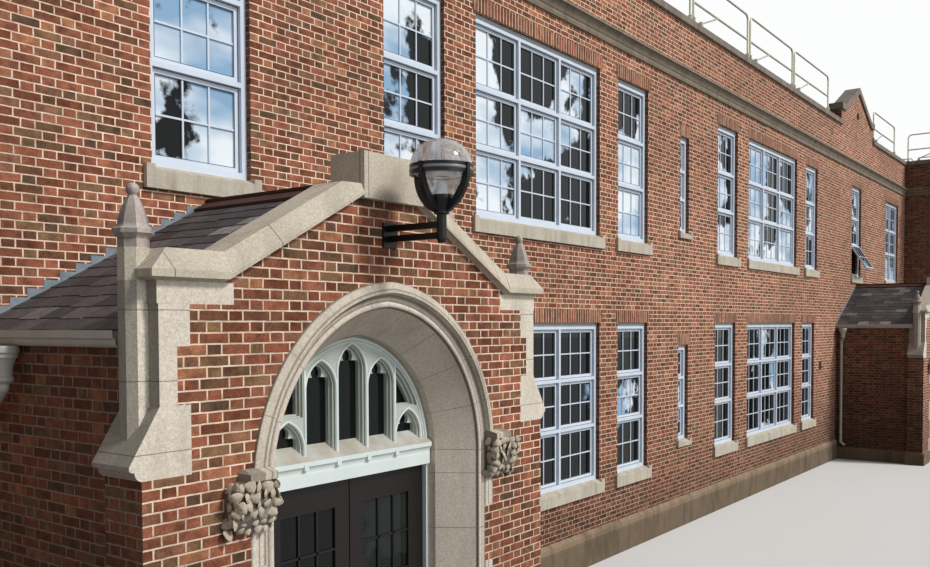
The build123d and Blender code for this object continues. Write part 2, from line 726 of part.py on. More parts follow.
stone_turn = degrees(asin(1)) - degrees(asin(arch_offset / outer_radius))
arch_parts = []
for i in range(arch_stones):
    low_turn = stone_turn * i / arch_stones
    high_turn = stone_turn * (i + 1) / arch_stones if i < arch_stones - 1 else stone_turn + 3
    joint_turn = degrees(bed_joint / arch_radius)
    turn = radians(low_turn)
    ray = Vector(cos(turn), 0, sin(turn))
    start = Vector(-arch_offset, porch_front, spring) + ray * arch_radius
    with BuildPart() as stone:
        with BuildSketch(Plane(origin=start, x_dir=ray, z_dir=(-sin(turn), 0, cos(turn)))):
            add(arch_section(stone_band))
        revolve(axis=Axis((-arch_offset, 0, spring), (0, -1, 0)), revolution_arc=high_turn - low_turn - joint_turn)
        if i == arch_stones - 1:
            split(bisect_by=Plane.YZ.offset(bed_joint), keep=Keep.TOP)
    arch_parts.append(stone.part)
for i in range(len(jamb_levels) - 1):
    z0 = jamb_levels[i] if i else 0
    outer = stone_band + 8 if i % 2 == 0 else stone_band - 115
    with BuildPart() as stone:
        with BuildSketch(Plane(origin=(arch_half, porch_front, z0))):
            add(arch_section(outer))
        extrude(amount=jamb_levels[i + 1] - bed_joint - z0)
    arch_parts.append(stone.part)
write("arch_surrounds", at_porches(both_hands(arch_parts)))

# Hood mould over the arch: hollow below, weathered above, in one stone a side and turned down to its stops
hood_in = stone_band - 109
hood_lip = stone_band - 71
hood_out = 48
stop_top = spring + 163
with BuildPart() as hood:
    with BuildSketch(Plane(origin=(arch_half, porch_front, spring))):
        with BuildLine():
            Polyline((stone_band, -bed_joint), (hood_in, -bed_joint))
            RadiusArc((hood_in, -bed_joint), (hood_lip - 12, 14 - hood_out), 70)
            Polyline((hood_lip - 12, 14 - hood_out), (hood_lip - 12, -hood_out), (hood_lip + 4, -hood_out),
                     (stone_band, -20), (stone_band, -bed_joint))
        make_face()
    revolve(axis=Axis((-arch_offset, 0, spring), (0, -1, 0)), revolution_arc=stone_turn + 3)
    split(bisect_by=Plane.YZ.offset(bed_joint), keep=Keep.TOP)
    split(bisect_by=Plane.XY.offset(stop_top + bed_joint), keep=Keep.TOP)

# Hood stops: a moulded block over a boss carved with leaves
stop_in = arch_half + hood_in - 2
stop_out = stop_in + 202
boss_out = stop_in + 332
boss_low = stop_top - 404
with BuildPart() as stop:
    with BuildSketch(Plane(origin=(stop_in, porch_front - bed_joint, 0), x_dir=(0, -1, 0), z_dir=(-1, 0, 0))):
        with BuildLine():
            Polyline((0, boss_low), (40, boss_low), (95, boss_low + 90), (118, boss_low + 210), (96, stop_top - 78),
                     (128, stop_top - 66), (128, stop_top - 20), (hood_out, stop_top), (0, stop_top), close=True)
        make_face()
    extrude(amount=-(boss_out - stop_in))
    with BuildSketch(porch_plane.offset(200)):
        with BuildLine():
            Polyline((stop_in + 24, boss_low), (boss_out - 60, boss_low), (boss_out, boss_low + 120),
                     (boss_out, stop_top - 130), (stop_out + 20, stop_top - 66), (stop_out + 20, stop_top - 20),
                     (stop_out, stop_top), (stop_in, stop_top), (stop_in, boss_low + 60), close=True)
        make_face()
    extrude(amount=-400, mode=Mode.INTERSECT)
write("hood_moulds", at_porches(both_hands([hood.part, stop.part])))

# Door screens: a painted frame behind the arch, its head a moulded beam with a sloping ledge on top
screen_front = porch_front + recess
screen_half = arch_half + 40
ledge_front_v = 350
ledge_slope = (ledge_back - ledge_front) / (recess + screen_deep - ledge_front_v)


def head_section(lift):
    """Section of the beam: x inwards from the porch front, y up."""
    with BuildSketch() as made:
        with BuildLine():
            Polyline((ledge_front_v, ledge_front - 36), (ledge_front_v, ledge_front + lift),
                     (recess + screen_deep, ledge_back + lift), (recess + screen_deep, door_head),
                     (recess - 28, door_head), (recess - 28, door_head + 92))
            RadiusArc((recess - 28, door_head + 92), (ledge_front_v, ledge_front - 36), -60)
        make_face()
    return made.sketch


def head_beam(half, lift):
    """The beam, centred on the doorway, its top lifted by a clearance."""
    with BuildPart() as made:
        with BuildSketch(Plane(origin=(-half, porch_front, 0), x_dir=(0, 1, 0), z_dir=(1, 0, 0))):
            add(head_section(lift))
        extrude(amount=2 * half)
    return made.part


block_places = (-540, -200, 140, 480)
with BuildPart() as screen:
    with BuildSketch(porch_plane.offset(-recess - bed_joint)):
        add(rectangle(-screen_half, screen_half, floor_top, ledge_front - 60))
        add(rectangle(-door_half, door_half, floor_top, door_head), mode=Mode.SUBTRACT)
    extrude(amount=bed_joint - screen_deep)
    add(head_beam(arch_half - 14, 0))
    with Locations(*[(x, porch_front + ledge_front_v + 14, ledge_front - 42) for x in block_places]):
        Box(44, 40, 40)
write("door_screens", at_porches([screen.part]))

# Tympanum: painted timber tracery in three layers. The front one is the mullions' nibs and the pointed heads,
# the middle one steps in, and the back one has the cusped heads that carry the glass.
# Each light: its distance from the middle, the level of its cusps and the top of its pointed head.
mullion_pitch = 338
light_places = ((0, spring + 805, spring + 930), (mullion_pitch, spring + 687, spring + 807),
                (2 * mullion_pitch, spring + 246, spring + 364))
# Layers: half width of the lights, width of the rim, and how far back the layer ends
layers = ((150, 62, 22), (139, 84, 50), (128, 105, screen_deep))
foil_side = 34
foil_top = 55
foil_lift = 32


def lancet(x, half, top, low):
    """A light with a two-centred head that comes to a point at the top level."""
    shoulder = top - half * sqrt(2)
    with BuildSketch() as made:
        with BuildLine():
            Polyline((x - half, shoulder), (x - half, low), (x + half, low), (x + half, shoulder))
            RadiusArc((x + half, shoulder), (x, top), -1.5 * half)
            RadiusArc((x, top), (x - half, shoulder), -1.5 * half)
        make_face()
    return made.sketch


def cusped(x, half, cusps, low):
    """A light with small rounded corners at the level of its cusps and a round foil over them."""
    with BuildSketch() as made:
        add(rectangle(x - half, x + half, low, cusps - foil_side))
        add(rectangle(x - half + foil_side, x + half - foil_side, low, cusps))
        with Locations((x - half + foil_side, cusps - foil_side), (x + half - foil_side, cusps - foil_side)):
            Circle(foil_side)
        with Locations((x, cusps + foil_lift)):
            Circle(foil_top)
    return made.sketch


spandrel_x = 1.5 * mullion_pitch + 19
light_low = ledge_front - 100
spandrel_low = spring + 400
with BuildPart() as tracery:
    start_v = 0
    for half, rim, end_v in layers:
        inset = layers[0][0] - half
        with BuildSketch(porch_plane.offset(-recess - bed_joint - start_v)):
            add(arch_face(arch_radius + 40, ledge_front + 46))
            with BuildSketch(mode=Mode.SUBTRACT):
                for x, cusps, top in light_places:
                    if end_v < screen_deep:
                        add(lancet(x, half, top - inset, light_low))
                    else:
                        add(cusped(x, half, cusps, light_low))
                add(rectangle(spandrel_x + inset, arch_half, spandrel_low + inset, arch_radius + spring))
                mirror(about=Plane.YZ)
                add(arch_face(arch_radius - rim, light_low), mode=Mode.INTERSECT)
        extrude(amount=start_v - end_v)
        start_v = end_v
    add(head_beam(screen_half + 1, bed_joint), mode=Mode.SUBTRACT)
write("tympanum_tracery", at_porches([tracery.part]))
with BuildPart() as tympanum_pane:
    with BuildSketch(porch_plane.offset(-recess - screen_deep - bed_joint)):
        add(arch_face(arch_radius, ledge_back))
    extrude(amount=-glass_thick)
write("tympanum_glass", at_porches([tympanum_pane.part]))

# Porch roofs: a slab of slates a side from the gable to the main wall, with a ridge piece over both
roof_back = front_face - bed_joint
roof_front = porch_front + cope_deep + bed_joint
ridge_thick = 22
ridge_half = 80


def on_roof(points):
    """A length of roof work with the section given by points, from the gable to the main wall."""
    with BuildPart() as made:
        with BuildSketch(Plane(origin=(0, roof_front, 0), x_dir=(1, 0, 0), z_dir=(0, -1, 0))):
            with BuildLine():
                Polyline(*points, close=True)
            make_face()
        extrude(amount=roof_front - roof_back)
    return made.part


slope_slab = on_roof([(bed_joint, roof_level(0) - roof_thick), (roof_edge, roof_level(roof_edge) - roof_thick),
                      (roof_edge, roof_level(roof_edge)), (bed_joint, roof_level(0))])
lift = bed_joint
ridge = on_roof([(-ridge_half, roof_level(ridge_half) + lift), (0, roof_level(0) + lift),
                 (ridge_half, roof_level(ridge_half) + lift), (ridge_half, roof_level(ridge_half) + lift + ridge_thick),
                 (0, roof_level(0) + lift + ridge_thick), (-ridge_half, roof_level(ridge_half) + lift + ridge_thick)])
write("porch_roofs", at_porches(both_hands([slope_slab]) + [ridge]))

# Flashings: lead stepped up the brick courses above each slope
course = 70
flash_thick = 4
flash_tall = 112
flash_run = course / roof_slope
steps = int((roof_edge - ridge_half) / flash_run) + 1
with BuildPart() as flashing:
    with BuildSketch(front_plane):
        for i in range(steps):
            x1 = roof_edge - i * flash_run
            x0 = max(x1 - flash_run, ridge_half)
            with BuildLine():
                Polyline((x0, roof_level(x0) + lift), (x1, roof_level(x1) + lift),
                         (x1, roof_level(x1) + flash_tall), (x0, roof_level(x1) + flash_tall), close=True)
            make_face()
    extrude(amount=flash_thick)
write("roof_flashings", at_porches(both_hands([flashing.part])))

# Gutters: moulded channels along both eaves
gutter_top = roof_edge_top + 9
gutter_wall = 6
with BuildPart() as gutter:
    with BuildSketch(Plane(origin=(roof_edge + bed_joint, roof_front, gutter_top), x_dir=(1, 0, 0), z_dir=(0, -1, 0))):
        with BuildLine():
            Polyline((0, 0), (0, -105), (48, -105))
            RadiusArc((48, -105), (74, -58), -40)
            Polyline((74, -58), (98, -48), (98, 0), (0, 0))
        make_face()
        with BuildLine():
            Polyline((gutter_wall, 10), (gutter_wall, gutter_wall - 105), (48, gutter_wall - 105))
            RadiusArc((48, gutter_wall - 105), (68, -52), -36)
            Polyline((68, -52), (98 - gutter_wall, -42), (98 - gutter_wall, 10), (gutter_wall, 10))
        make_face(mode=Mode.SUBTRACT)
    extrude(amount=roof_front - roof_back)

# Downpipes: a round moulded head under the gutter, a neck back to a pipe that two collars hold off the
# wall, and a shoe
pipe_x = porch_side + 62
pipe_y = -5550
pipe_r = 37
hopper_x = porch_side + 114
hopper_ys = (-6020, -5600)
hopper_r = 106
hopper_tall = 290
head_top = gutter_top - 105 - bed_joint
neck_falls = (330, 56)
pipes = []
for c, hopper_y, neck_fall in zip(porch_centres, hopper_ys, neck_falls):
    neck_high = head_top - hopper_tall + 5
    neck_low = neck_high - neck_fall
    with BuildPart() as downpipe:
        with BuildSketch(Plane(origin=(hopper_x, hopper_y, head_top), x_dir=(1, 0, 0), z_dir=(0, -1, 0))):
            with BuildLine():
                Polyline((0, 0), (hopper_r - 8, 0), (hopper_r, -12), (hopper_r, -44), (hopper_r - 12, -56),
                         (hopper_r - 12, -80), (hopper_r - 26, -92))
                RadiusArc((hopper_r - 26, -92), (58, -205), -260)
                Polyline((58, -205), (66, -214), (66, -236), (56, -246), (pipe_r, -262), (pipe_r, -hopper_tall),
                         (0, -hopper_tall), (0, 0))
            make_face()
        revolve(axis=Axis((hopper_x, hopper_y, 0), (0, 0, 1)))
        with BuildLine() as run:
            Polyline((hopper_x, hopper_y, neck_high + 105), (hopper_x, hopper_y, neck_high),
                     (pipe_x, pipe_y, neck_low), (pipe_x, pipe_y, 470), (pipe_x, pipe_y - 110, 380))
        with BuildSketch(Plane(origin=run.line @ 0)):
            Circle(pipe_r)
        sweep(path=run.line, transition=Transition.ROUND)
        with Locations((pipe_x, pipe_y, neck_low - 26), (pipe_x, pipe_y, 740)):
            Cylinder(pipe_r + 9, 40)
            with Locations((porch_side + bed_joint - pipe_x, 0, 0)):
                Box(pipe_x - porch_side - bed_joint, 30, 40, align=(Align.MIN, Align.CENTER, Align.CENTER))
    pipes += [p.moved(Location((c, 0, 0))) for p in both_hands([downpipe.part])]
write("gutters_and_downpipes", at_porches(both_hands([gutter.part])) + pipes)

# Lamp on the near porch: a wall plate, two arms, a post, and a cup with four curved ribs up to a ring
lamp_x = porch_centres[0] - 5
lamp_y = porch_front - 512
plate_thick = 14
ring_r = 232
lamp_low = spring + 1679
cup_low = lamp_low + 226
cup_top = lamp_low + 342
ring_low = lamp_low + 485
ring_high = ring_low + 72
with BuildPart() as bracket:
    with Locations((lamp_x, porch_front - bed_joint - plate_thick / 2, lamp_low + 81)):
        Box(150, plate_thick, 190)
    arm_long = porch_front - bed_joint - lamp_y
    for z in (lamp_low + 54, lamp_low + 132):
        with Locations((lamp_x, lamp_y, z)):
            Box(42, arm_long, 46, align=(Align.CENTER, Align.MIN, Align.CENTER))
    with BuildSketch(Plane(origin=(lamp_x, lamp_y, 0), x_dir=(1, 0, 0), z_dir=(0, -1, 0))):
        with BuildLine():
            Polyline((0, lamp_low), (26, lamp_low), (36, lamp_low + 26), (36, cup_low - 24), (56, cup_low - 18),
                     (56, cup_low), (88, cup_top - 26), (88, cup_top), (0, cup_top), close=True)
        make_face()
    revolve(axis=Axis((lamp_x, lamp_y, 0), (0, 0, 1)))
    with Locations((lamp_x, lamp_y, (ring_low + ring_high) / 2)):
        Cylinder(ring_r, ring_high - ring_low)
        Cylinder(ring_r - 26, ring_high - ring_low, mode=Mode.SUBTRACT)
    with BuildSketch(Plane(origin=(lamp_x, lamp_y, 0), x_dir=(1, 0, 0), z_dir=(0, -1, 0))) as rib:
        with BuildLine():
            Polyline((ring_r - 30, ring_high), (ring_r + 14, ring_high), (ring_r + 14, ring_low))
            RadiusArc((ring_r + 14, ring_low), (52, cup_low - 8), 300)
            Polyline((52, cup_low - 8), (52, cup_low + 46))
            RadiusArc((52, cup_low + 46), (ring_r - 30, ring_low), -300)
            Line((ring_r - 30, ring_low), (ring_r - 30, ring_high))
        make_face()
        mirror(about=Plane.YZ)
    extrude(amount=16, both=True)
    with BuildSketch(Plane(origin=(lamp_x, lamp_y, 0), x_dir=(0, 1, 0), z_dir=(1, 0, 0))):
        add(rib.sketch_local)
    extrude(amount=16, both=True)
write("lamp_bracket", [bracket.part])

# Lamp glass: a tapered clear bowl on the cup and a dome on the ring, both thin shells
shell = 4
with BuildPart() as bowl:
    with BuildSketch(Plane(origin=(lamp_x, lamp_y, 0), x_dir=(1, 0, 0), z_dir=(0, -1, 0))):
        with BuildLine():
            Polyline((84, cup_top + bed_joint), (158, ring_low + 6), (198, ring_low + 10), (198, ring_low + 10 + shell),
                     (158 - shell, ring_low + 6 + shell), (84 - shell, cup_top + bed_joint), close=True)
        make_face()
    revolve(axis=Axis((lamp_x, lamp_y, 0), (0, 0, 1)))
dome_low = ring_high + bed_joint
dome_r = 226
dome_rise = 193
with BuildPart() as dome:
    with BuildSketch(Plane(origin=(lamp_x, lamp_y, dome_low), x_dir=(1, 0, 0), z_dir=(0, -1, 0))):
        with BuildLine():
            RadiusArc((dome_r, 0), (0, dome_rise), -(dome_r * dome_r + dome_rise * dome_rise) / 2 / dome_rise)
            Line((0, dome_rise), (0, dome_rise - shell))
            RadiusArc((0, dome_rise - shell), (dome_r - shell, 0),
                      ((dome_r - shell) ** 2 + (dome_rise - shell) ** 2) / 2 / (dome_rise - shell))
            Line((dome_r - shell, 0), (dome_r, 0))
        make_face()
    revolve(axis=Axis((lamp_x, lamp_y, 0), (0, 0, 1)))
write("lamp_globe", [bowl.part, dome.part])

# Guard rails: tube panels clamped to the coping, each with round-cornered posts, a mid rail and a brace
panel_long = 2850
panel_pitch = 3000
tube_r = 21
rail_top = 10160
rail_mid = 9650
rail_bend = 120
foot = coping_top - 18
with BuildPart() as rail_panel:
    with BuildLine() as loop:
        FilletPolyline((0, 0, foot), (0, 0, rail_top), (panel_long, 0, rail_top), (panel_long, 0, foot), radius=rail_bend)
    with BuildSketch(Plane(origin=(0, 0, foot))):
        Circle(tube_r)
    sweep(path=loop.line)
    with BuildSketch(Plane(origin=(0, 0, rail_mid), z_dir=(1, 0, 0))):
        Circle(tube_r)
    extrude(amount=panel_long)
    with BuildLine() as brace:
        Line((350, 0, foot + 60), (1200, 0, rail_mid))
    with BuildSketch(Plane(origin=brace.line @ 0, z_dir=brace.line % 0)):
        Circle(tube_r - 4)
    sweep(path=brace.line)
    # clamps over the coping's edge under the posts and the brace
    for x in (0, 350, panel_long):
        with Locations((x, 0, foot)):
            Box(60, 70, 90, align=(Align.CENTER, Align.CENTER, Align.MIN))
sides = (
    (Plane(origin=(0, front_face, 0)), (-13300, -10300, -7300, -4300, -1300, 1700, 9500)),
    (Plane(origin=(wing_face, 0, 0), x_dir=(0, -1, 0)), (5480,)),
    (Plane(origin=(0, wing_front, 0)), (14950,)),
    (Plane(origin=(right_face, 0, 0), x_dir=(0, 1, 0)), (-7700, -4700, -1700, 1300)),
    (Plane(origin=(0, back_face, 0), x_dir=(-1, 0, 0)), (-18300, -15300, -12300, -9300, -6300, -3300, -300, 2700,
                                                          5700, 8700, 11700, 14700)),
    (Plane(origin=(left_face, 0, 0), x_dir=(0, -1, 0)), (-4800, -1800, 1200)),
)
rail_in = 30
rails = [rail_panel.part.moved(plane.location * Location((x, rail_in, 0))) for plane, places in sides for x in places]
write("roof_guard_rails", rails)

# Wall vent: a small grille on the front wall
with BuildPart() as vent:
    with Locations((3950, front_face - bed_joint - 6, 2610)):
        Box(205, 12, 205)
write("wall_vent", [vent.part])

# Doors: glazed pairs that open inwards, each leaf with a pull handle, hung on three hinges a leaf
leaf_thick = 45
leaf_gap = 5
leaf_wide = door_half - 2 * leaf_gap
leaf_low = floor_top + 8
leaf_high = door_head - 5
leaf_front = screen_front + 40
hinge_stile = 190
meeting_stile = 155
top_rail = 216
low_rail = 475
leaf_glass = 8
pin_r = 4
pin_play = 0.05
knuckle_r = 7
pin_in = 8
strap = 4
hinge_levels = (floor_top + 260, 1270, door_head - 260)
hinge_tall = 108
knuckle_tall = hinge_tall / 3
hinges = []
for name, c in (("near", porch_centres[0]), ("far", porch_centres[1])):
    for side_name, s in (("left", -1), ("right", 1)):
        jamb_x = c + s * door_half
        pin_x = jamb_x - s * pin_in
        leaf_back = leaf_front + leaf_thick
        pin_y = leaf_back + pin_in
        x0, x1 = sorted((jamb_x - s * leaf_gap, jamb_x - s * (leaf_gap + leaf_wide)))
        g0, g1 = sorted((jamb_x - s * (leaf_gap + hinge_stile), jamb_x - s * (leaf_gap + leaf_wide - meeting_stile)))
        leaf_plane = Plane(origin=(0, leaf_front, 0), x_dir=(1, 0, 0), z_dir=(0, -1, 0))
        with BuildPart() as leaf:
            with BuildSketch(leaf_plane):
                add(rectangle(x0, x1, leaf_low, leaf_high))
                add(rectangle(g0, g1, leaf_low + low_rail, leaf_high - top_rail), mode=Mode.SUBTRACT)
            extrude(amount=-leaf_thick)
            # pull handle on the meeting stile
            handle_x = jamb_x - s * (leaf_gap + leaf_wide - meeting_stile / 2)
            with Locations((handle_x, leaf_front - 40, 1230)):
                Cylinder(10, 400)
            with Locations((handle_x, leaf_front - 20, 1060), (handle_x, leaf_front - 20, 1400)):
                Box(18, 44, 18)
            for z in hinge_levels:
                with Locations((pin_x, pin_y, z)):
                    Cylinder(knuckle_r, knuckle_tall)
                with Locations((pin_x - s * 20, leaf_back + strap / 2, z)):
                    Box(40, strap, knuckle_tall)
                with Locations((pin_x, pin_y, z)):
                    Cylinder(pin_r + pin_play, hinge_tall, mode=Mode.SUBTRACT)
        write(name + "_door_" + side_name, [leaf.part])
        write(name + "_door_" + side_name + "_glass", [block(
            g0, g1, leaf_front + 18, leaf_front + 18 + leaf_glass, leaf_low + low_rail, leaf_high - top_rail)])
        for z in hinge_levels:
            with BuildPart() as hinge:
                with Locations((pin_x, pin_y, z)):
                    Cylinder(pin_r, hinge_tall)
                for end in (-1, 1):
                    knuckle_z = z + end * (knuckle_tall + bed_joint)
                    with Locations((pin_x, pin_y, knuckle_z)):
                        Cylinder(knuckle_r, knuckle_tall - 1)
                    with Locations((jamb_x + s * 19, leaf_back + strap / 2, knuckle_z)):
                        Box(42, strap, knuckle_tall - 1)
            hinges.append(hinge.part)
write("door_hinges", hinges)
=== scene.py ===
import math
import random

import bpy
from mathutils import Matrix, Vector


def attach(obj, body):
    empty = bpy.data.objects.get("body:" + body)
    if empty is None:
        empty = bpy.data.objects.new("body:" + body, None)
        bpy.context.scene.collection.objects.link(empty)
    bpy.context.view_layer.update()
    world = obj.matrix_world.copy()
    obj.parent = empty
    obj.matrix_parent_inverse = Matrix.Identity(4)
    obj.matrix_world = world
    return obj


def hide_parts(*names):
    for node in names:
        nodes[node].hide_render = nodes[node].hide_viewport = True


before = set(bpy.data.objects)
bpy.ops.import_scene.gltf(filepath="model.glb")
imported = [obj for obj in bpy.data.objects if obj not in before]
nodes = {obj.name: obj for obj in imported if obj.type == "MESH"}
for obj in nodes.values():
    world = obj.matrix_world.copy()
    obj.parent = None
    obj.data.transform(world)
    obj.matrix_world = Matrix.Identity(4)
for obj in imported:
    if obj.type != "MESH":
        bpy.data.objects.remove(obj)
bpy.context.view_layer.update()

# Camera: a person stands to the left of the near porch and looks along the front,
# slightly downwards. The rows are the camera's right, up and backward directions.
FOCAL_PX = 910.75
SHIFT_PX = 71.5
PHOTO_WIDE = 930
SENSOR_MM = 36
RIGHT = (0.599995, -0.799997, -0.003298)
UP = (0.028603, 0.017332, 0.999441)
BACK = (-0.799492, -0.599754, 0.033281)
EYE = (-20.5, -12.21, 3.69)
camera_data = bpy.data.cameras.new("camera")
camera_data.sensor_width = SENSOR_MM
camera_data.lens = SENSOR_MM * FOCAL_PX / PHOTO_WIDE
camera_data.shift_y = SHIFT_PX / PHOTO_WIDE
camera_data.clip_end = 500
camera = bpy.data.objects.new("camera", camera_data)
camera.matrix_world = Matrix(((*RIGHT, 0), (*UP, 0), (*BACK, 0), (0, 0, 0, 1))).transposed()
camera.location = EYE
bpy.context.collection.objects.link(camera)
bpy.context.scene.camera = camera

# Stage: a plain pale floor and background, soft daylight from the right of the front, and a wide, weak
# lamp from straight ahead that stands for the open sky. Both lamps are large, so shadows have soft edges.
bpy.context.scene.view_settings.view_transform = "Standard"
world = bpy.data.worlds.new("sky")
bpy.context.scene.world = world
world.use_nodes = True
sky = world.node_tree
sky.nodes.clear()


def linear(hex_colour, shade=1.0):
    """An sRGB hex colour as linear red, green, blue and alpha, darkened by a factor."""
    channels = [int(hex_colour[i:i + 2], 16) / 255 for i in (1, 3, 5)]
    channels = [c / 12.92 if c <= 0.04045 else ((c + 0.055) / 1.055) ** 2.4 for c in channels]
    return [c * shade for c in channels] + [1.0]


def add_node(tree, kind, inputs=(), out=0, **settings):
    """Adds a shader node with its settings, sets or links its inputs, and gives one of its outputs."""
    node = tree.nodes.new("ShaderNode" + kind)
    for name, value in settings.items():
        setattr(node, name, value)
    for key, value in dict(inputs).items():
        if isinstance(value, bpy.types.NodeSocket):
            tree.links.new(value, node.inputs[key])
        else:
            node.inputs[key].default_value = value
    return node.outputs[out] if len(node.outputs) else node


def calculate(tree, operation, *values):
    """A calculation with its one to three values."""
    return add_node(tree, "Math", dict(enumerate(values)), operation=operation)


def blend(tree, factor, first, second):
    """The first colour where a factor is 0, and the second where it is 1."""
    return add_node(tree, "Mix", {"Factor": factor, 6: first, 7: second}, out=2, data_type="RGBA")


def new_material(name):
    """An empty material and its node tree."""
    material = bpy.data.materials.new(name)
    material.use_nodes = True
    material.node_tree.nodes.clear()
    return material, material.node_tree


def end_material(tree, look, height=None, strength=0.0, deep=0.0):
    """Ends a material with its surface, in relief where it has a height, whose depth is in metres."""
    if height is not None:
        look["Normal"] = add_node(tree, "Bump", {"Height": height, "Strength": strength, "Distance": deep})
    add_node(tree, "OutputMaterial", {"Surface": add_node(tree, "BsdfPrincipled", look)})


def seen_directly(tree):
    """One for rays from the camera and for those seen in gloss or through glass."""
    rays = add_node(tree, "LightPath").node.outputs
    seen = calculate(tree, "MAXIMUM", rays["Is Camera Ray"], rays["Is Glossy Ray"])
    return calculate(tree, "MAXIMUM", seen, rays["Is Transmission Ray"])


def add_lamp(name, strength, angle, colour, direction):
    """A distant lamp that shines along a direction. The wider its angle, the softer its shadows."""
    data = bpy.data.lights.new(name, "SUN")
    data.energy = strength
    data.angle = math.radians(angle)
    data.color = colour
    lamp = bpy.data.objects.new(name, data)
    lamp.rotation_euler = Vector(direction).to_track_quat("-Z", "Y").to_euler()
    bpy.context.collection.objects.link(lamp)


shade = add_node(sky, "Background", {"Color": linear("#e6ecf5"), "Strength": 0.29})
backdrop = add_node(sky, "Background", {"Color": linear("#fcfdfd"), "Strength": 1.0})
either = add_node(sky, "MixShader", {0: seen_directly(sky), 1: shade, 2: backdrop})
add_node(sky, "OutputWorld", {"Surface": either})
add_lamp("daylight", 2.75, 12, (1.0, 0.975, 0.94), (-0.26, 0.95, -0.88))
add_lamp("open_sky", 0.85, 40, (0.94, 0.97, 1.0), (0.0, 1.0, -0.25))
bpy.ops.mesh.primitive_plane_add(size=400, location=(0, 0, -0.002))
floor = bpy.context.object
floor.name = "floor"
pale, tree = new_material("pale_floor")
tone = blend(tree, seen_directly(tree), linear("#7d7a75"), linear("#dcdcda"))
end_material(tree, {"Base Color": tone, "Roughness": 0.9, "Specular IOR Level": 0.2})
floor.data.materials.append(pale)

# Brick walls: red-brown facing bricks in Flemish bond, each course of stretchers and headers in turn,
# with wide cream lime joints. Wire-cut clay is dull, and its colour goes from red to dark olive
# from brick to brick. A brick shows 212 or 99 by 57 mm, and a joint is 13 mm.
COURSE = 0.070
PAIR = 0.3375
STRETCHER = 0.225
JOINT = 0.0132
JOINT_EDGE = (JOINT - 0.003, JOINT + 0.001)
JOINT_SHADE = (JOINT - 0.005, JOINT - 0.001)
UPRIGHT_EDGE = (0.13, 0.19)
BRICK_TONES = ((0.0, "#854f3a"), (0.17, "#945a43"), (0.32, "#70422d"), (0.46, "#84523d"), (0.60, "#6c4733"),
               (0.70, "#7e5e43"), (0.77, "#a26c4d"), (0.85, "#694b36"), (0.91, "#895f48"), (0.965, "#5c4534"))


def dress(material, *names):
    """Gives CAD nodes a material."""
    for name in names:
        nodes[name].data.materials.clear()
        nodes[name].data.materials.append(material)


def noise(tree, place, scale, detail, rough=0.5):
    """Cloudy noise, with about as many patches to a metre as its scale."""
    return add_node(tree, "TexNoise", {"Vector": place, "Scale": scale, "Detail": detail, "Roughness": rough})


def remap(tree, value, low, high, to_low=0.0, to_high=1.0):
    """A range of values stretched to another range and held at its ends."""
    return add_node(tree, "MapRange", {
        "Value": value, "From Min": low, "From Max": high, "To Min": to_low, "To Max": to_high})


def scaled(tree, colour, amount):
    """A colour or a direction times an amount."""
    return add_node(tree, "VectorMath", {0: colour, "Scale": amount}, operation="SCALE")


def between(tree, factor, first, second):
    """The first value where a factor is 0, and the second where it is 1."""
    return add_node(tree, "Mix", {"Factor": factor, 2: first, 3: second})


def colour_ramp(tree, value, stops):
    """A colour that a value chooses from stops of (position, linear colour)."""
    chosen = add_node(tree, "ValToRGB", {0: value})
    elements = chosen.node.color_ramp.elements
    elements.remove(elements[1])
    elements[0].position, elements[0].color = stops[0]
    for at, colour in stops[1:]:
        elements.new(at).color = colour
    return chosen


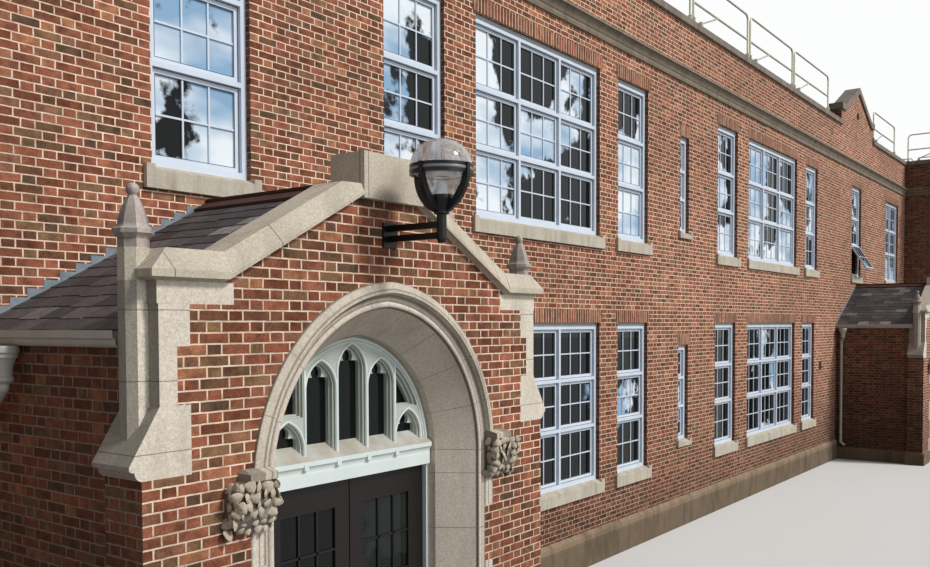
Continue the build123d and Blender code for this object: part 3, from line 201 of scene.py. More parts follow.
def brick_material(name, upright=False, shade=1.0):
    """Bonded brickwork on any upright face, or a soldier course of bricks stood on end."""
    material, tree = new_material(name)
    coordinates = add_node(tree, "TexCoord").node
    place = coordinates.outputs["Object"]
    # the courses waver by a few millimetres, as bricks are never quite straight
    wander = add_node(tree, "TexNoise", {"Vector": place, "Scale": 16.0, "Detail": 3.0}, out="Color")
    wander = add_node(tree, "VectorMath", {0: wander, 1: (0.5, 0.5, 0.5)}, operation="SUBTRACT")
    bent = add_node(tree, "VectorMath", {0: place, 1: scaled(tree, wander, 0.007)})
    x, y, z = add_node(tree, "SeparateXYZ", {0: bent}).node.outputs
    facing = add_node(tree, "SeparateXYZ", {0: coordinates.outputs["Normal"]}).node.outputs
    side_on = calculate(tree, "GREATER_THAN", calculate(tree, "ABSOLUTE", facing[0]), 0.5)
    flat = calculate(tree, "GREATER_THAN", calculate(tree, "ABSOLUTE", facing[2]), 0.5)
    along = between(tree, side_on, x, y)
    rise = between(tree, flat, z, y)
    if upright:
        across = calculate(tree, "DIVIDE", along, COURSE)
        column = calculate(tree, "FLOOR", across)
        mortar = remap(tree, calculate(tree, "SUBTRACT", across, column), *UPRIGHT_EDGE)
        identity = add_node(tree, "CombineXYZ", {0: column, 1: side_on})
    else:
        courses = calculate(tree, "DIVIDE", rise, COURSE)
        course = calculate(tree, "FLOOR", courses)
        up_here = calculate(tree, "SUBTRACT", courses, course)
        odd = calculate(tree, "FLOORED_MODULO", course, 2.0)
        shifted = calculate(tree, "MULTIPLY_ADD", odd, PAIR / 2, along)
        pairs = calculate(tree, "DIVIDE", shifted, PAIR)
        pair = calculate(tree, "FLOOR", pairs)
        inside = calculate(tree, "MULTIPLY", calculate(tree, "SUBTRACT", pairs, pair), PAIR)
        header = calculate(tree, "GREATER_THAN", inside, STRETCHER)
        start = calculate(tree, "MULTIPLY_ADD", header, -STRETCHER, inside)
        above = remap(tree, up_here, *(edge / COURSE for edge in JOINT_EDGE))
        mortar = calculate(tree, "MULTIPLY", remap(tree, start, *JOINT_EDGE), above)
        twice = calculate(tree, "MULTIPLY_ADD", pair, 2.0, header)
        identity = add_node(tree, "CombineXYZ", {0: twice, 1: course, 2: side_on})
    brick = add_node(tree, "TexWhiteNoise", {"Vector": identity}, out="Value", noise_dimensions="3D")
    hues = colour_ramp(tree, brick, [(at, linear(tone, shade)) for at, tone in BRICK_TONES])
    hues.node.color_ramp.interpolation = "CONSTANT"
    grain = noise(tree, place, 70.0, 6.0, 0.72)
    marks = calculate(tree, "MULTIPLY", grain, noise(tree, place, 11.0, 4.0))
    clay = scaled(tree, hues, remap(tree, marks, 0.12, 0.40, 0.46, 1.60))
    dirt = remap(tree, noise(tree, place, 9.0, 6.0, 0.7), 0.35, 0.65)
    lime = blend(tree, dirt, linear("#ffe2cb", shade), linear("#c8a88f", shade))
    # the joints on faces that turn from the front are darkened as painted shade
    lime = scaled(tree, lime, between(tree, side_on, 1.0, 0.5))
    face = blend(tree, mortar, lime, clay)
    if not upright:
        # a raked joint lies in the shade of the brick over it
        under = remap(tree, up_here, *(edge / COURSE for edge in JOINT_SHADE), 1.0, 0.55)
        face = scaled(tree, face, calculate(tree, "MAXIMUM", under, above))
    # painted shade on the faces that turn from the front, and the brick darker towards the ground
    low_darkening = remap(tree, z, 0.45, 2.6, 0.50, 1.0)
    side_shade_and_low_dark = calculate(tree, "MULTIPLY", between(tree, side_on, 1.0, 0.72), low_darkening)
    weather = remap(tree, noise(tree, place, 0.45, 5.0, 0.6), 0.40, 0.60, 1.06, 0.86)
    face = scaled(tree, face, calculate(tree, "MULTIPLY", side_shade_and_low_dark, weather))
    height = calculate(tree, "MULTIPLY_ADD", grain, 0.35, mortar)
    end_material(tree, {"Base Color": face, "Roughness": 0.88, "Specular IOR Level": 0.2}, height, 0.8, 0.004)
    return material


dress(brick_material("facing_brick"), "front_wall_lower", "front_wall_upper", "left_end_wall", "back_wall",
      "right_end_wall", "wing_walls", "parapet", "porch_front_piers", "porch_gables")
# The side walls of the porches are the same brick, darkened all over as painted shade
dress(brick_material("shaded_side_wall_brick", shade=0.9), "porch_side_walls")

# Soldier courses: bricks stood on end over each window, 195 mm tall. The same brick, so as dull, with upright
# joints. Each wall lists its windows as (centre, width, lights wide) and has a frame of its own: its x runs
# along the wall, its y inwards from the face and its z up. The narrowest windows are shorter slits.
FRONT_UPPER = [(-15.316, 1.075, 1), (-12.356, 1.09, 1), (-9.557, 3.24, 3), (-6.79, 1.085, 1), (-4.729, 0.39, 1),
               (-2.59, 1.065, 1), (0.25, 3.3, 3), (3.1, 1.0, 1), (7.486, 1.02, 1), (12.01, 1.82, 2)]
FRONT_LOWER = [(-12.356, 1.09, 1), (-9.557, 3.24, 3), (-6.8, 1.09, 1), (-4.758, 0.43, 1),
               (-2.68, 1.1, 1), (0.185, 3.22, 3), (2.895, 1.005, 1), (12.01, 1.82, 2)]
BACK_ROW = [(-16.43, 1.86, 2), (-11.79, 1.86, 2), (-7.5, 3.24, 3), (-2.86, 1.06, 1), (-0.07, 3.24, 3),
            (2.72, 1.06, 1), (6.875, 1.06, 1), (9.66, 3.24, 3), (12.45, 1.06, 1), (16.2, 1.86, 2)]
LEFT_ROW = [(-2.6, 1.86, 2), (2.6, 1.86, 2)]
RIGHT_ROW = [(-5.6, 1.86, 2), (-1.5, 1.86, 2), (2.6, 1.86, 2)]
WING_ROW = [(16.43, 1.86, 2)]
OPEN_WINDOW = FRONT_UPPER[8]
FRONT_FACE = -5.4
BACK_FACE = 5.4
LEFT_FACE = -18.8
RIGHT_FACE = 18.93
WING_FACE = -8.4
WALLS = {
    "front": (Matrix.Translation((0, FRONT_FACE, 0)), FRONT_LOWER, FRONT_UPPER),
    "back": (Matrix.Translation((0, BACK_FACE, 0)) @ Matrix.Rotation(math.pi, 4, "Z"), BACK_ROW, BACK_ROW),
    "left": (Matrix.Translation((LEFT_FACE, 0, 0)) @ Matrix.Rotation(-math.pi / 2, 4, "Z"), LEFT_ROW, LEFT_ROW),
    "right": (Matrix.Translation((RIGHT_FACE, 0, 0)) @ Matrix.Rotation(math.pi / 2, 4, "Z"), RIGHT_ROW, RIGHT_ROW),
    "wing": (Matrix.Translation((0, WING_FACE, 0)), WING_ROW, WING_ROW),
}
LOWER_LEVELS = (1.275, 2.129, 2.861, 3.715)
UPPER_LEVELS = (5.065, 5.9465, 6.7053, 7.62)
SLIT_LOWER = (1.575, 3.31)
SLIT_UPPER = (5.365, 7.09)
SLIT_WIDEST = 0.5
SOLDIER_TALL = 0.195
SOLDIER_BEYOND = 0.07
SOLDIER_LIFT = 0.003


def levels_of(place, lower):
    """Bottom, transoms and top of a window. The narrow ones are short."""
    levels = LOWER_LEVELS if lower else UPPER_LEVELS
    if place[1] > SLIT_WIDEST:
        return levels
    low, high = SLIT_LOWER if lower else SLIT_UPPER
    share = [(z - levels[0]) / (levels[3] - levels[0]) for z in levels]
    return [low + (high - low) * s for s in share]


def edit_all():
    """Enters edit mode with all of the active piece selected."""
    bpy.ops.object.mode_set(mode="EDIT")
    bpy.ops.mesh.select_all(action="SELECT")


def model_block(name, low, high, bevel=0.0, segments=1):
    """A block between two corners with its edges eased, its place in its mesh."""
    bpy.ops.object.select_all(action="DESELECT")
    bpy.ops.mesh.primitive_cube_add(size=1)
    made = bpy.context.object
    made.name = name
    made.scale = [h - l for l, h in zip(low, high)]
    made.location = [(h + l) / 2 for l, h in zip(low, high)]
    bpy.ops.object.transform_apply(location=True, rotation=True, scale=True)
    if bevel:
        edit_all()
        bpy.ops.mesh.bevel(offset=bevel, segments=segments, affect="EDGES")
        bpy.ops.object.mode_set(mode="OBJECT")
    return made


def spot(x, y, z, wide=1, deep=1, tall=1):
    """A place for a copy, which is stretched along its axes."""
    return Matrix.Translation((x, y, z)) @ Matrix.Diagonal((wide, deep, tall, 1))


def join(name, parts):
    """Several made parts as one piece."""
    bpy.ops.object.select_all(action="DESELECT")
    for part in parts:
        part.select_set(True)
    bpy.context.view_layer.objects.active = parts[0]
    if len(parts) > 1:
        bpy.ops.object.join()
    parts[0].name = name
    return parts[0]


def repeat(name, model, places, tones=None):
    """Copies of a model at the given places, joined to one piece. Each copy can carry its own tone."""
    copies = []
    for i, place in enumerate(places):
        twin = bpy.data.objects.new(name, model.data.copy())
        twin.data.transform(place)
        if place.determinant() < 0:
            twin.data.flip_normals()
        if tones:
            tone = twin.data.attributes.new("tone", "FLOAT", "POINT")
            tone.data.foreach_set("value", [tones[i]] * len(twin.data.vertices))
        bpy.context.collection.objects.link(twin)
        copies.append(twin)
    bpy.data.objects.remove(model)
    return join(name, copies)


def finish_piece(piece, material, body="building", smooth=None):
    """Gives a piece its finish and the body that it rides on."""
    piece.data.materials.clear()
    piece.data.materials.append(material)
    if smooth:
        bpy.ops.object.select_all(action="DESELECT")
        piece.select_set(True)
        bpy.context.view_layer.objects.active = piece
        bpy.ops.object.shade_smooth_by_angle(angle=math.radians(smooth))
    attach(piece, body)


soldier_brick = brick_material("soldier_brick", upright=True, shade=0.9)
for wall_name, (wall_frame, lows, highs) in WALLS.items():
    brick = model_block("soldier", (-0.5, -0.003, 0), (0.5, 0.05, SOLDIER_TALL))
    places = [wall_frame @ spot(place[0], 0, levels_of(place, lower)[3] + SOLDIER_LIFT,
                                place[1] + 2 * SOLDIER_BEYOND)
              for row, lower in ((lows, True), (highs, False)) for place in row]
    finish_piece(repeat("soldier_course_" + wall_name, brick, places), soldier_brick)

# Dressed stone of the porches and sills: pale shelly limestone, sawn and rubbed, pitted all over and
# greyer where rain runs. It is matt, and the pits are 2 to 6 mm across. The arches' mouldings run at
# fixed radii about two points on the springing, and painted shade darkens the hollows between their rolls.
PORCH_CENTRES = {"near": -15.295, "far": 7.52}
BETWEEN_PORCHES = -4.0
SPRING = 2.605
ARCH_OFFSET = 0.065
MOULDINGS = (1.20, 1.42)
MOULDING_SHADE_TONES = ((0, 1), (0.05, 1), (0.07, 0.35), (0.10, 0.35), (0.12, 1), (0.27, 1), (0.30, 0.4), (0.33, 0.4),
                  (0.36, 1), (0.42, 1), (0.45, 0.4), (0.52, 0.5), (0.56, 1), (0.66, 1), (0.69, 0.5), (0.72, 0.5),
                  (0.75, 1), (0.93, 1), (0.97, 0.55), (1, 0.55))
END_JOINT = 0.006
BED_JOINT = 0.005
BAND_EDGE = 0.004


def pointed(tree, steps, share, mortar, body, height):
    """The colour and height of stone with a sunk joint over a share of each step."""
    seam = calculate(tree, "GREATER_THAN", calculate(tree, "FRACT", steps), share)
    return blend(tree, seam, linear(mortar), body), calculate(tree, "MULTIPLY_ADD", seam, 2.0, height)


def stone_material(name, light="#e8dfd0", dark="#cfc4b3", stain="#9c8f84", staining=0.35, joint=0.0,
                   streaks=3.0, bed=0.0, radial=0.0, bands=(), side_shade=1.0):
    """Limestone, weathered more or less, with joints across a long course, level beds or an arch's radial
    joints. A band is a darker level line, as (middle, half its height, brightness), painted shade in a groove or a
    hollow, or a darker course."""
    material, tree = new_material(name)
    coordinates = add_node(tree, "TexCoord").node
    place = coordinates.outputs["Object"]
    x, y, z = add_node(tree, "SeparateXYZ", {0: place}).node.outputs
    fine = noise(tree, place, 60.0, 6.0, 0.8)
    pits = add_node(tree, "TexVoronoi", {"Vector": place, "Scale": 110.0, "Randomness": 1.0})
    body = blend(tree, noise(tree, place, 2.2, 6.0, 0.6), linear(dark), linear(light))
    body = scaled(tree, body, remap(tree, fine, 0.3, 0.7, 0.64, 1.22))
    runs = add_node(tree, "Mapping", {"Vector": place, "Scale": (streaks, streaks, 0.8)})
    runs = remap(tree, noise(tree, runs, 1.6, 7.0, 0.62), 0.46, 0.72, 0.0, staining)
    body = blend(tree, runs, body, linear(stain))
    height = calculate(tree, "MULTIPLY_ADD", fine, 0.6, remap(tree, pits, 0.05, 0.35))
    if joint:
        steps = calculate(tree, "DIVIDE", calculate(tree, "ADD", x, y), joint)
        body, height = pointed(tree, steps, END_JOINT / joint, "#6e655c", body, height)
    if bed:
        steps = calculate(tree, "DIVIDE", z, bed)
        if radial:
            # above the springing the joints point at the arch's middle, in either porch
            far = calculate(tree, "GREATER_THAN", x, BETWEEN_PORCHES)
            middle = between(tree, far, PORCH_CENTRES["near"], PORCH_CENTRES["far"])
            beside = calculate(tree, "SUBTRACT", x, middle)
            above = calculate(tree, "SUBTRACT", z, SPRING)
            turn = calculate(tree, "DIVIDE", calculate(tree, "ARCTAN2", above, beside), radial)
            steps = between(tree, calculate(tree, "GREATER_THAN", above, 0.0), steps, turn)
            out = calculate(tree, "ADD", calculate(tree, "ABSOLUTE", beside), ARCH_OFFSET)
            ray = add_node(tree, "CombineXYZ", {0: out, 1: calculate(tree, "MAXIMUM", above, 0.0)})
            ray = add_node(tree, "VectorMath", {0: ray}, out="Value", operation="LENGTH")
            # the mouldings' rings are painted shade in the hollows between their rolls
            painted_roll_shade = colour_ramp(tree, remap(tree, ray, *MOULDINGS),
                                [(at, (tone, tone, tone, 1)) for at, tone in MOULDING_SHADE_TONES])
            body = add_node(tree, "VectorMath", {0: body, 1: painted_roll_shade}, operation="MULTIPLY")
        body, height = pointed(tree, steps, BED_JOINT / bed, "#8f8577", body, height)
    for middle, half, darker in bands:
        away = calculate(tree, "ABSOLUTE", calculate(tree, "SUBTRACT", z, middle))
        body = scaled(tree, body, remap(tree, away, half - BAND_EDGE, half + BAND_EDGE, darker, 1.0))
    # faces that turn from the front are darkened as painted shade
    if side_shade < 1:
        facing = add_node(tree, "SeparateXYZ", {0: coordinates.outputs["Normal"]})
        facing = calculate(tree, "ABSOLUTE", facing)
        body = scaled(tree, body, remap(tree, facing, 0.3, 0.7, 1.0, side_shade))
    end_material(tree, {"Base Color": body, "Roughness": 0.85, "Specular IOR Level": 0.25}, height, 0.8, 0.003)
    return material


# the corner stones are darker on faces that turn from the front, as painted shade
dress(stone_material("dressed_limestone", bed=0.42, side_shade=0.52), "corner_stones")
dress(stone_material("sill_limestone", "#d3cbbc", "#b1a896", "#857b6e", 0.6, streaks=5.0), "window_sills")
dress(stone_material("arch_limestone", "#e4d9ca", "#c6baab", "#9b8e82", 0.4, bed=0.48, radial=0.345),
      "arch_surrounds")
# the band darkens the stone round the stops' carved leaves, from 2.35 to 2.68 m, as painted shade
dress(stone_material("hood_limestone", "#dcd2c1", "#b6ab9a", "#7c7268", 0.5, bed=0.48, radial=0.345,
                     bands=((2.515, 0.165, 0.5),)), "hood_moulds")
dress(stone_material("coping_limestone", "#d6cdbb", "#b8ad9b", "#857a6e", 0.45, joint=0.83), "porch_copings")
# the pinnacles are darker on faces that turn from the front, as painted shade
dress(stone_material("pinnacle_limestone", "#cabeb6", "#a4988f", "#736a64", 0.55, bed=0.84, side_shade=0.66),
      "pinnacles")

# String course and parapet coping: the same limestone, darkened by a century of rain, in lengths
# of about 0.9 m with pointed joints. The bands are painted shade in the string course's grooves and its hollow.
dress(stone_material("weathered_limestone", "#978b7f", "#73695f", "#514a43", 0.65, joint=0.9), "parapet_coping")
dress(stone_material("string_limestone", "#9d917f", "#7c7161", "#514a43", 0.55, joint=0.9,
                     bands=((8.155, 0.012, 0.45), (8.262, 0.009, 0.5), (8.085, 0.030, 0.75))), "string_course")

# Plinth: a tan stone course on a darker rendered base, stained by splashing rain
# the thin band at 0.395 m is a painted shadow line along the stone course's lower edge
dress(stone_material("plinth_stone", "#a18b73", "#786752", "#4f4436", 0.7, joint=0.9,
                     bands=((0.18, 0.20, 0.62), (0.395, 0.008, 0.5))), "plinth")

# Hood stops: bosses of carved leaves under a moulded block, cut by hand in the same stone, deeply
# undercut, so that the hollows between the leaves are dark. The leaves are plain lobed ones.
STOP_IN = 1.238
STOP_WIDE = 0.332
STOP_TOP = 2.768
STOP_DEEP = 0.128
PORCH_FRONT = -7.59
LEAF_RADIUS = 0.047
LEAF_ROWS = 6
LEAF_COLUMNS = 5
ROW_STEP = 0.056
COLUMN_STEP = 0.072
carved_stone = stone_material("carved_limestone", "#d8ccb8", "#a99d8a", "#5a5147", 0.7)


def select_points(piece, test):
    """Enters edit mode with the points selected whose places pass a test."""
    bpy.ops.object.mode_set(mode="EDIT")
    bpy.ops.mesh.select_mode(type="VERT")
    bpy.ops.mesh.select_all(action="DESELECT")
    bpy.ops.object.mode_set(mode="OBJECT")
    for point in piece.data.vertices:
        point.select = test(point.co)
    bpy.ops.object.mode_set(mode="EDIT")


def leave_edit():
    """Turns the active piece's faces outwards and leaves edit mode."""
    bpy.ops.mesh.select_all(action="SELECT")
    bpy.ops.mesh.normals_make_consistent(inside=False)
    bpy.ops.object.mode_set(mode="OBJECT")


def model_leaf():
    """A three-lobed leaf about 0.1 m across, domed, with teeth between its lobes."""
    bpy.ops.object.select_all(action="DESELECT")
    bpy.ops.mesh.primitive_circle_add(vertices=18, radius=LEAF_RADIUS, fill_type="TRIFAN")
    leaf = bpy.context.object
    for low, high, size in ((0.4, 1.1, 1.22), (-1.1, -0.9, 0.58)):
        select_points(leaf, lambda p: p.length > 0.01 and low < math.cos(3 * math.atan2(p.y, p.x)) < high)
        bpy.ops.transform.resize(value=(size, size, 1), center_override=(0, 0, 0))
        bpy.ops.object.mode_set(mode="OBJECT")
    select_points(leaf, lambda p: p.length < 0.01)
    bpy.ops.transform.translate(value=(0, 0, 0.020))
    bpy.ops.mesh.select_all(action="SELECT")
    bpy.ops.transform.translate(value=(0, 0, -0.016))
    bpy.ops.mesh.extrude_region_move(TRANSFORM_OT_translate={"value": (0, 0, 0.014)})
    leave_edit()
    leaf.modifiers.new("soft", "SUBSURF").levels = 1
    bpy.ops.object.modifier_apply(modifier="soft")
    return leaf


chance = random.Random(7)
for porch, centre in PORCH_CENTRES.items():
    places = []
    for hand in (-1, 1):
        leaves = []
        for row in range(LEAF_ROWS):
            z = STOP_TOP - 0.098 - row * ROW_STEP
            deep = STOP_DEEP - 0.028 * max(0, row - 2)
            leaves += [(STOP_IN + 0.022 + column * COLUMN_STEP + 0.02 * (row % 2), z, deep, 0.0)
                       for column in range(LEAF_COLUMNS)]
            leaves += [(x, z, deep * share, side * math.pi / 2)
                       for side, x in ((-1, STOP_IN), (1, STOP_IN + STOP_WIDE)) for share in (0.35, 0.8)]
        for x, z, deep, aside in leaves:
            x += chance.uniform(-0.010, 0.010)
            z += chance.uniform(-0.010, 0.010)
            turn = (Matrix.Rotation(hand * aside, 4, "Z")
                    @ Matrix.Rotation(math.pi / 2 + chance.uniform(-0.6, 0.5), 4, "X")
                    @ Matrix.Rotation(chance.uniform(-0.7, 0.7), 4, "Y")
                    @ Matrix.Rotation(chance.uniform(0, 6.28), 4, "Z"))
            out = PORCH_FRONT - deep - chance.uniform(0.002, 0.014)
            places.append(Matrix.Translation((centre + hand * x, out, z)) @ turn
                          @ Matrix.Scale(chance.uniform(0.55, 0.85), 4))
    finish_piece(repeat("carved_leaves_" + porch, model_leaf(), places), carved_stone, smooth=50)

# Windows: white powder-coated box frames with a set-back sash in each light, which opening lights
# show as a dark groove, and thin bars that divide each light in panes three wide and two high.
# Dark lines round each sash and its glass are partly black rubber seals and partly painted shadow in the
# grooves, and a grey pressed-metal trim closes the joint between the frame's head and the bricks over it.
FRAME_WIDE = 0.060
FRAME_HEAD = 0.100
MULLION = 0.048
SASH_WIDE = 0.050
GLASS_BACK = 0.122
SASH_FACE = 0.103
BAR_WIDE = 0.018
BAR_DEEP = 0.016
STRIP_HALF = 0.003
# strips that cross lie this far apart, so that no two faces share a plane
STRIP_LAP = 0.0003
BAR_LAP = 0.0008


def painted_material(name, light, dark, rough=0.35, grime="#8f8676", griming=0.0, gloss=0.5):
    """Gloss paint on smooth work, a little uneven, with grime on the faces that look up."""
    material, tree = new_material(name)
    coordinates = add_node(tree, "TexCoord").node
    place = coordinates.outputs["Object"]
    wear = noise(tree, place, 4.0, 6.0, 0.65)
    tone = blend(tree, wear, linear(light), linear(dark))
    if griming:
        upward = add_node(tree, "SeparateXYZ", {0: coordinates.outputs["Normal"]}, out=2)
        upward = remap(tree, upward, 0.3, 0.8, 0.0, griming)
        upward = calculate(tree, "MULTIPLY", upward, remap(tree, wear, 0.35, 0.60, 0.65))
        tone = blend(tree, upward, tone, linear(grime))
    ripple = noise(tree, place, 40.0, 4.0)
    end_material(tree, {"Base Color": tone, "Roughness": rough, "Specular IOR Level": gloss}, ripple, 0.12, 0.002)
    return material


def light_boxes(place, lower):
    """Each light's clear glass as (left, right, bottom, top, tier) in its wall's frame."""
    centre, width, lights = place
    levels = levels_of(place, lower)
    light = (width - 2 * FRAME_WIDE - MULLION * (lights - 1)) / lights
    boxes = []
    for i in range(lights):
        left = centre - width / 2 + FRAME_WIDE + i * (light + MULLION) + SASH_WIDE
        for t in range(3):
            low = levels[t] + (FRAME_WIDE if t == 0 else MULLION / 2) + SASH_WIDE
            high = levels[t + 1] - (FRAME_HEAD if t == 2 else MULLION / 2) - SASH_WIDE
            boxes.append((left, left + light - 2 * SASH_WIDE, low, high, t))
    return boxes


white_paint = painted_material("white_window_paint", "#d6dfeb", "#bfcad8", 0.4, griming=0.3)
grey_trim = painted_material("grey_head_trim", "#a9b0ae", "#8b918e", 0.45)
# black seals, and dark strips that are painted shadow in the grooves round each sash
seal_and_shadow_paint = painted_material("black_seal_and_painted_shadow", "#2a2c2f", "#3a3d41", 0.7)
dress(white_paint, "window_frames", "open_window_light")
for wall_name, (wall_frame, lows, highs) in WALLS.items():
    bars, seal_and_shadow_strips, trims = [], [], []
    for row, lower in ((lows, True), (highs, False)):
        for place in row:
            for left, right, low, high, tier in light_boxes(place, lower):
                if place == OPEN_WINDOW and not lower and tier == 0 and wall_name == "front":
                    continue
                across, middle = (left + right) / 2, (low + high) / 2
                wide, tall = right - left, high - low
                # dark strips round the sash and round its glass: partly seals, partly painted shadow in the
                # grooves
                for edge in (SASH_WIDE - STRIP_HALF, STRIP_HALF / 2):
                    seal_and_shadow_strips += [wall_frame @ spot(at + side * edge, 0, middle, tall=tall + 2 * edge)
                              for side, at in ((-1, left), (1, right))]
                    seal_and_shadow_strips += [wall_frame @ Matrix.Translation((across, STRIP_LAP, at + side * edge))
                              @ Matrix.Rotation(math.pi / 2, 4, "Y") @ spot(0, 0, 0, tall=wide + 2 * edge)
                              for side, at in ((-1, low), (1, high))]
                if place[1] > SLIT_WIDEST:
                    bars += [wall_frame @ spot(left + wide * k / 3, 0, middle, BAR_WIDE, 1, tall) for k in (1, 2)]
                bars.append(wall_frame @ spot(across, BAR_LAP, middle, wide, 1, BAR_WIDE))
            trims.append(wall_frame @ spot(place[0], 0, levels_of(place, lower)[3], place[1] - 0.004))
    bar = model_block("bar", (-0.5, GLASS_BACK - BAR_DEEP, -0.5), (0.5, GLASS_BACK, 0.5))
    finish_piece(repeat("glazing_bars_" + wall_name, bar, bars), white_paint)
    seal_and_shadow_strip = model_block("seal_and_shadow_strip", (-STRIP_HALF, SASH_FACE - 0.0008, -0.5), (STRIP_HALF, SASH_FACE + 0.004, 0.5))
    finish_piece(repeat("sash_seals_and_shadows_" + wall_name, seal_and_shadow_strip, seal_and_shadow_strips), seal_and_shadow_paint)
    trim = model_block("trim", (-0.5, 0.050, -0.046), (0.5, 0.066, -0.001))
    finish_piece(repeat("head_trims_" + wall_name, trim, trims), grey_trim)

# Open light: the tilted sash has its own bars, of the same painted section. They follow it as it
# hangs from its top edge, where its clearance in the frame is 4 mm.
SASH_TILT = math.radians(32)
SASH_CLEAR = 0.004
SASH_IN = 0.066
SASH_EDGE = 0.045
SASH_OUT = -5.338
sash_top = UPPER_LEVELS[1] - MULLION / 2 - SASH_CLEAR
sash_low = UPPER_LEVELS[0] + SASH_IN
sash_half = OPEN_WINDOW[1] / 2 - SASH_IN
tall = sash_top - sash_low - 2 * SASH_EDGE
hung = (Matrix.Translation((OPEN_WINDOW[0], SASH_OUT, sash_top)) @ Matrix.Rotation(-SASH_TILT, 4, "X")
        @ Matrix.Translation((0, 0, -SASH_EDGE - tall / 2)))
bar = model_block("bar", (-0.5, -0.036, -0.5), (0.5, -0.020, 0.5))
places = [hung @ spot(hand * (sash_half - SASH_EDGE) / 3, 0, 0, BAR_WIDE, 1, tall) for hand in (-1, 1)]
places.append(hung @ spot(0, 0, 0, 2 * (sash_half - SASH_EDGE), 1, BAR_WIDE))
finish_piece(repeat("glazing_bars_open_light", bar, places), white_paint)


# Window glass: float glass in front of dim rooms. It is dark and very smooth, with a painted reflection of a
# cloudy blue-white sky between dark tree crowns, more sky upstairs. The painted reflection is the same from every
# side.
def glass_material(name, dark, reflected_blue, reflected_cloud_white, low_reflection_share, high_reflection_share):
    """Dark glossy glass with patches of painted sky reflection that grow more frequent from the lower to the upper
    storey.
    """
    material, tree = new_material(name)
    place = add_node(tree, "TexCoord", out="Object")
    height = add_node(tree, "SeparateXYZ", {0: place}, out=2)
    share = remap(tree, height, 3.7, 5.0, low_reflection_share, high_reflection_share)
    reflection_patch = calculate(tree, "ADD", noise(tree, place, 0.62, 9.0, 0.58), share)
    cloud = add_node(tree, "Mapping", {"Vector": place, "Scale": (0.6, 0.6, 1.4)})
    cloud = remap(tree, noise(tree, cloud, 1.1, 3.0), 0.40, 0.60)
    painted_sky_reflection = blend(tree, cloud, linear(reflected_blue), linear(reflected_cloud_white))
    # the patches are a painted reflection of sky and clouds
    tone = blend(tree, remap(tree, reflection_patch, 0.490, 0.515), linear(dark), painted_sky_reflection)
    end_material(tree, {"Base Color": tone, "Roughness": 0.02, "IOR": 1.45, "Specular IOR Level": 0.25})
    return material


dress(glass_material("window_glass_with_painted_reflection", "#0d1113", "#86a9c8", "#e3ebf1", -0.09, 0.018), "window_glass")
# The doors and the arches' lights have the same glass, with dimmer painted reflections, as the porch shades it
# from the sky
dress(glass_material("door_and_fanlight_glass_painted_reflection", "#0e1112", "#161b1c", "#1f2625", -0.02, 0.02), "tympanum_glass",
      "near_door_left_glass", "near_door_right_glass", "far_door_left_glass", "far_door_right_glass")

# Screens and tracery in the arches: painted softwood, white with a cold shade, and dirt lying on the
# ledge and on every face that looks up. In the tracery's hollows the paint is grey-green, partly dirt
# and partly painted shade, and its ribs are washed clean.
screen_paint = painted_material("white_joinery_paint", "#dde6e4", "#c0cbc8", 0.45, grime="#9a8d7c", griming=0.85)
dress(screen_paint, "door_screens")
# grey-green paint: dirt, and painted shade in the tracery's hollows
dress(painted_material("dirt_and_shade_joinery_paint", "#c3c9c2", "#979e94", 0.55, grime="#8d8272", griming=0.85),
      "tympanum_tracery")

# Ribs of the tracery: rounded timber mouldings planted on its face. They rise on the mullions, branch
# into each light's pointed head and follow the arch, with a slimmer bead inside each head.
TRACERY_FRONT = -7.1895
LEDGE_BACK = 2.700
LIGHT_HALF = 0.150
HEAD_RADIUS = 0.225
LIGHTS = ((0.0, 3.535), (0.338, 3.412), (0.676, 2.969))
RIBS = ((0.164, 0.0105, 0.0), (0.1445, 0.0045, 0.021))
ARCH_RIBS = ((0.985, 0.012), (0.957, 0.006))
ARCH_RIB_LOW = SPRING + 0.090
ARCH_RIB_TURN = SPRING + 0.100
UPRIGHT_IN = 0.498
UPRIGHT_OUT = 0.516


def model_rib(half, low, shoulder, offset, spring, swing, size, deep=0.0):
    """A rib that rises at half a width from the middle and swings over to it about a point on the springing."""
    bpy.ops.object.select_all(action="DESELECT")
    bpy.ops.mesh.primitive_circle_add(vertices=8, radius=size, fill_type="NGON",
                                      location=(half, TRACERY_FRONT + deep, low))
    rib = bpy.context.object
    bpy.ops.object.transform_apply(location=True, rotation=True, scale=True)
    edit_all()
    bpy.ops.mesh.extrude_region_move(TRANSFORM_OT_translate={"value": (0, 0, shoulder - low)})
    bpy.ops.mesh.spin(steps=10, angle=swing, center=(offset, TRACERY_FRONT + deep, spring), axis=(0, 1, 0))
    leave_edit()
    return rib


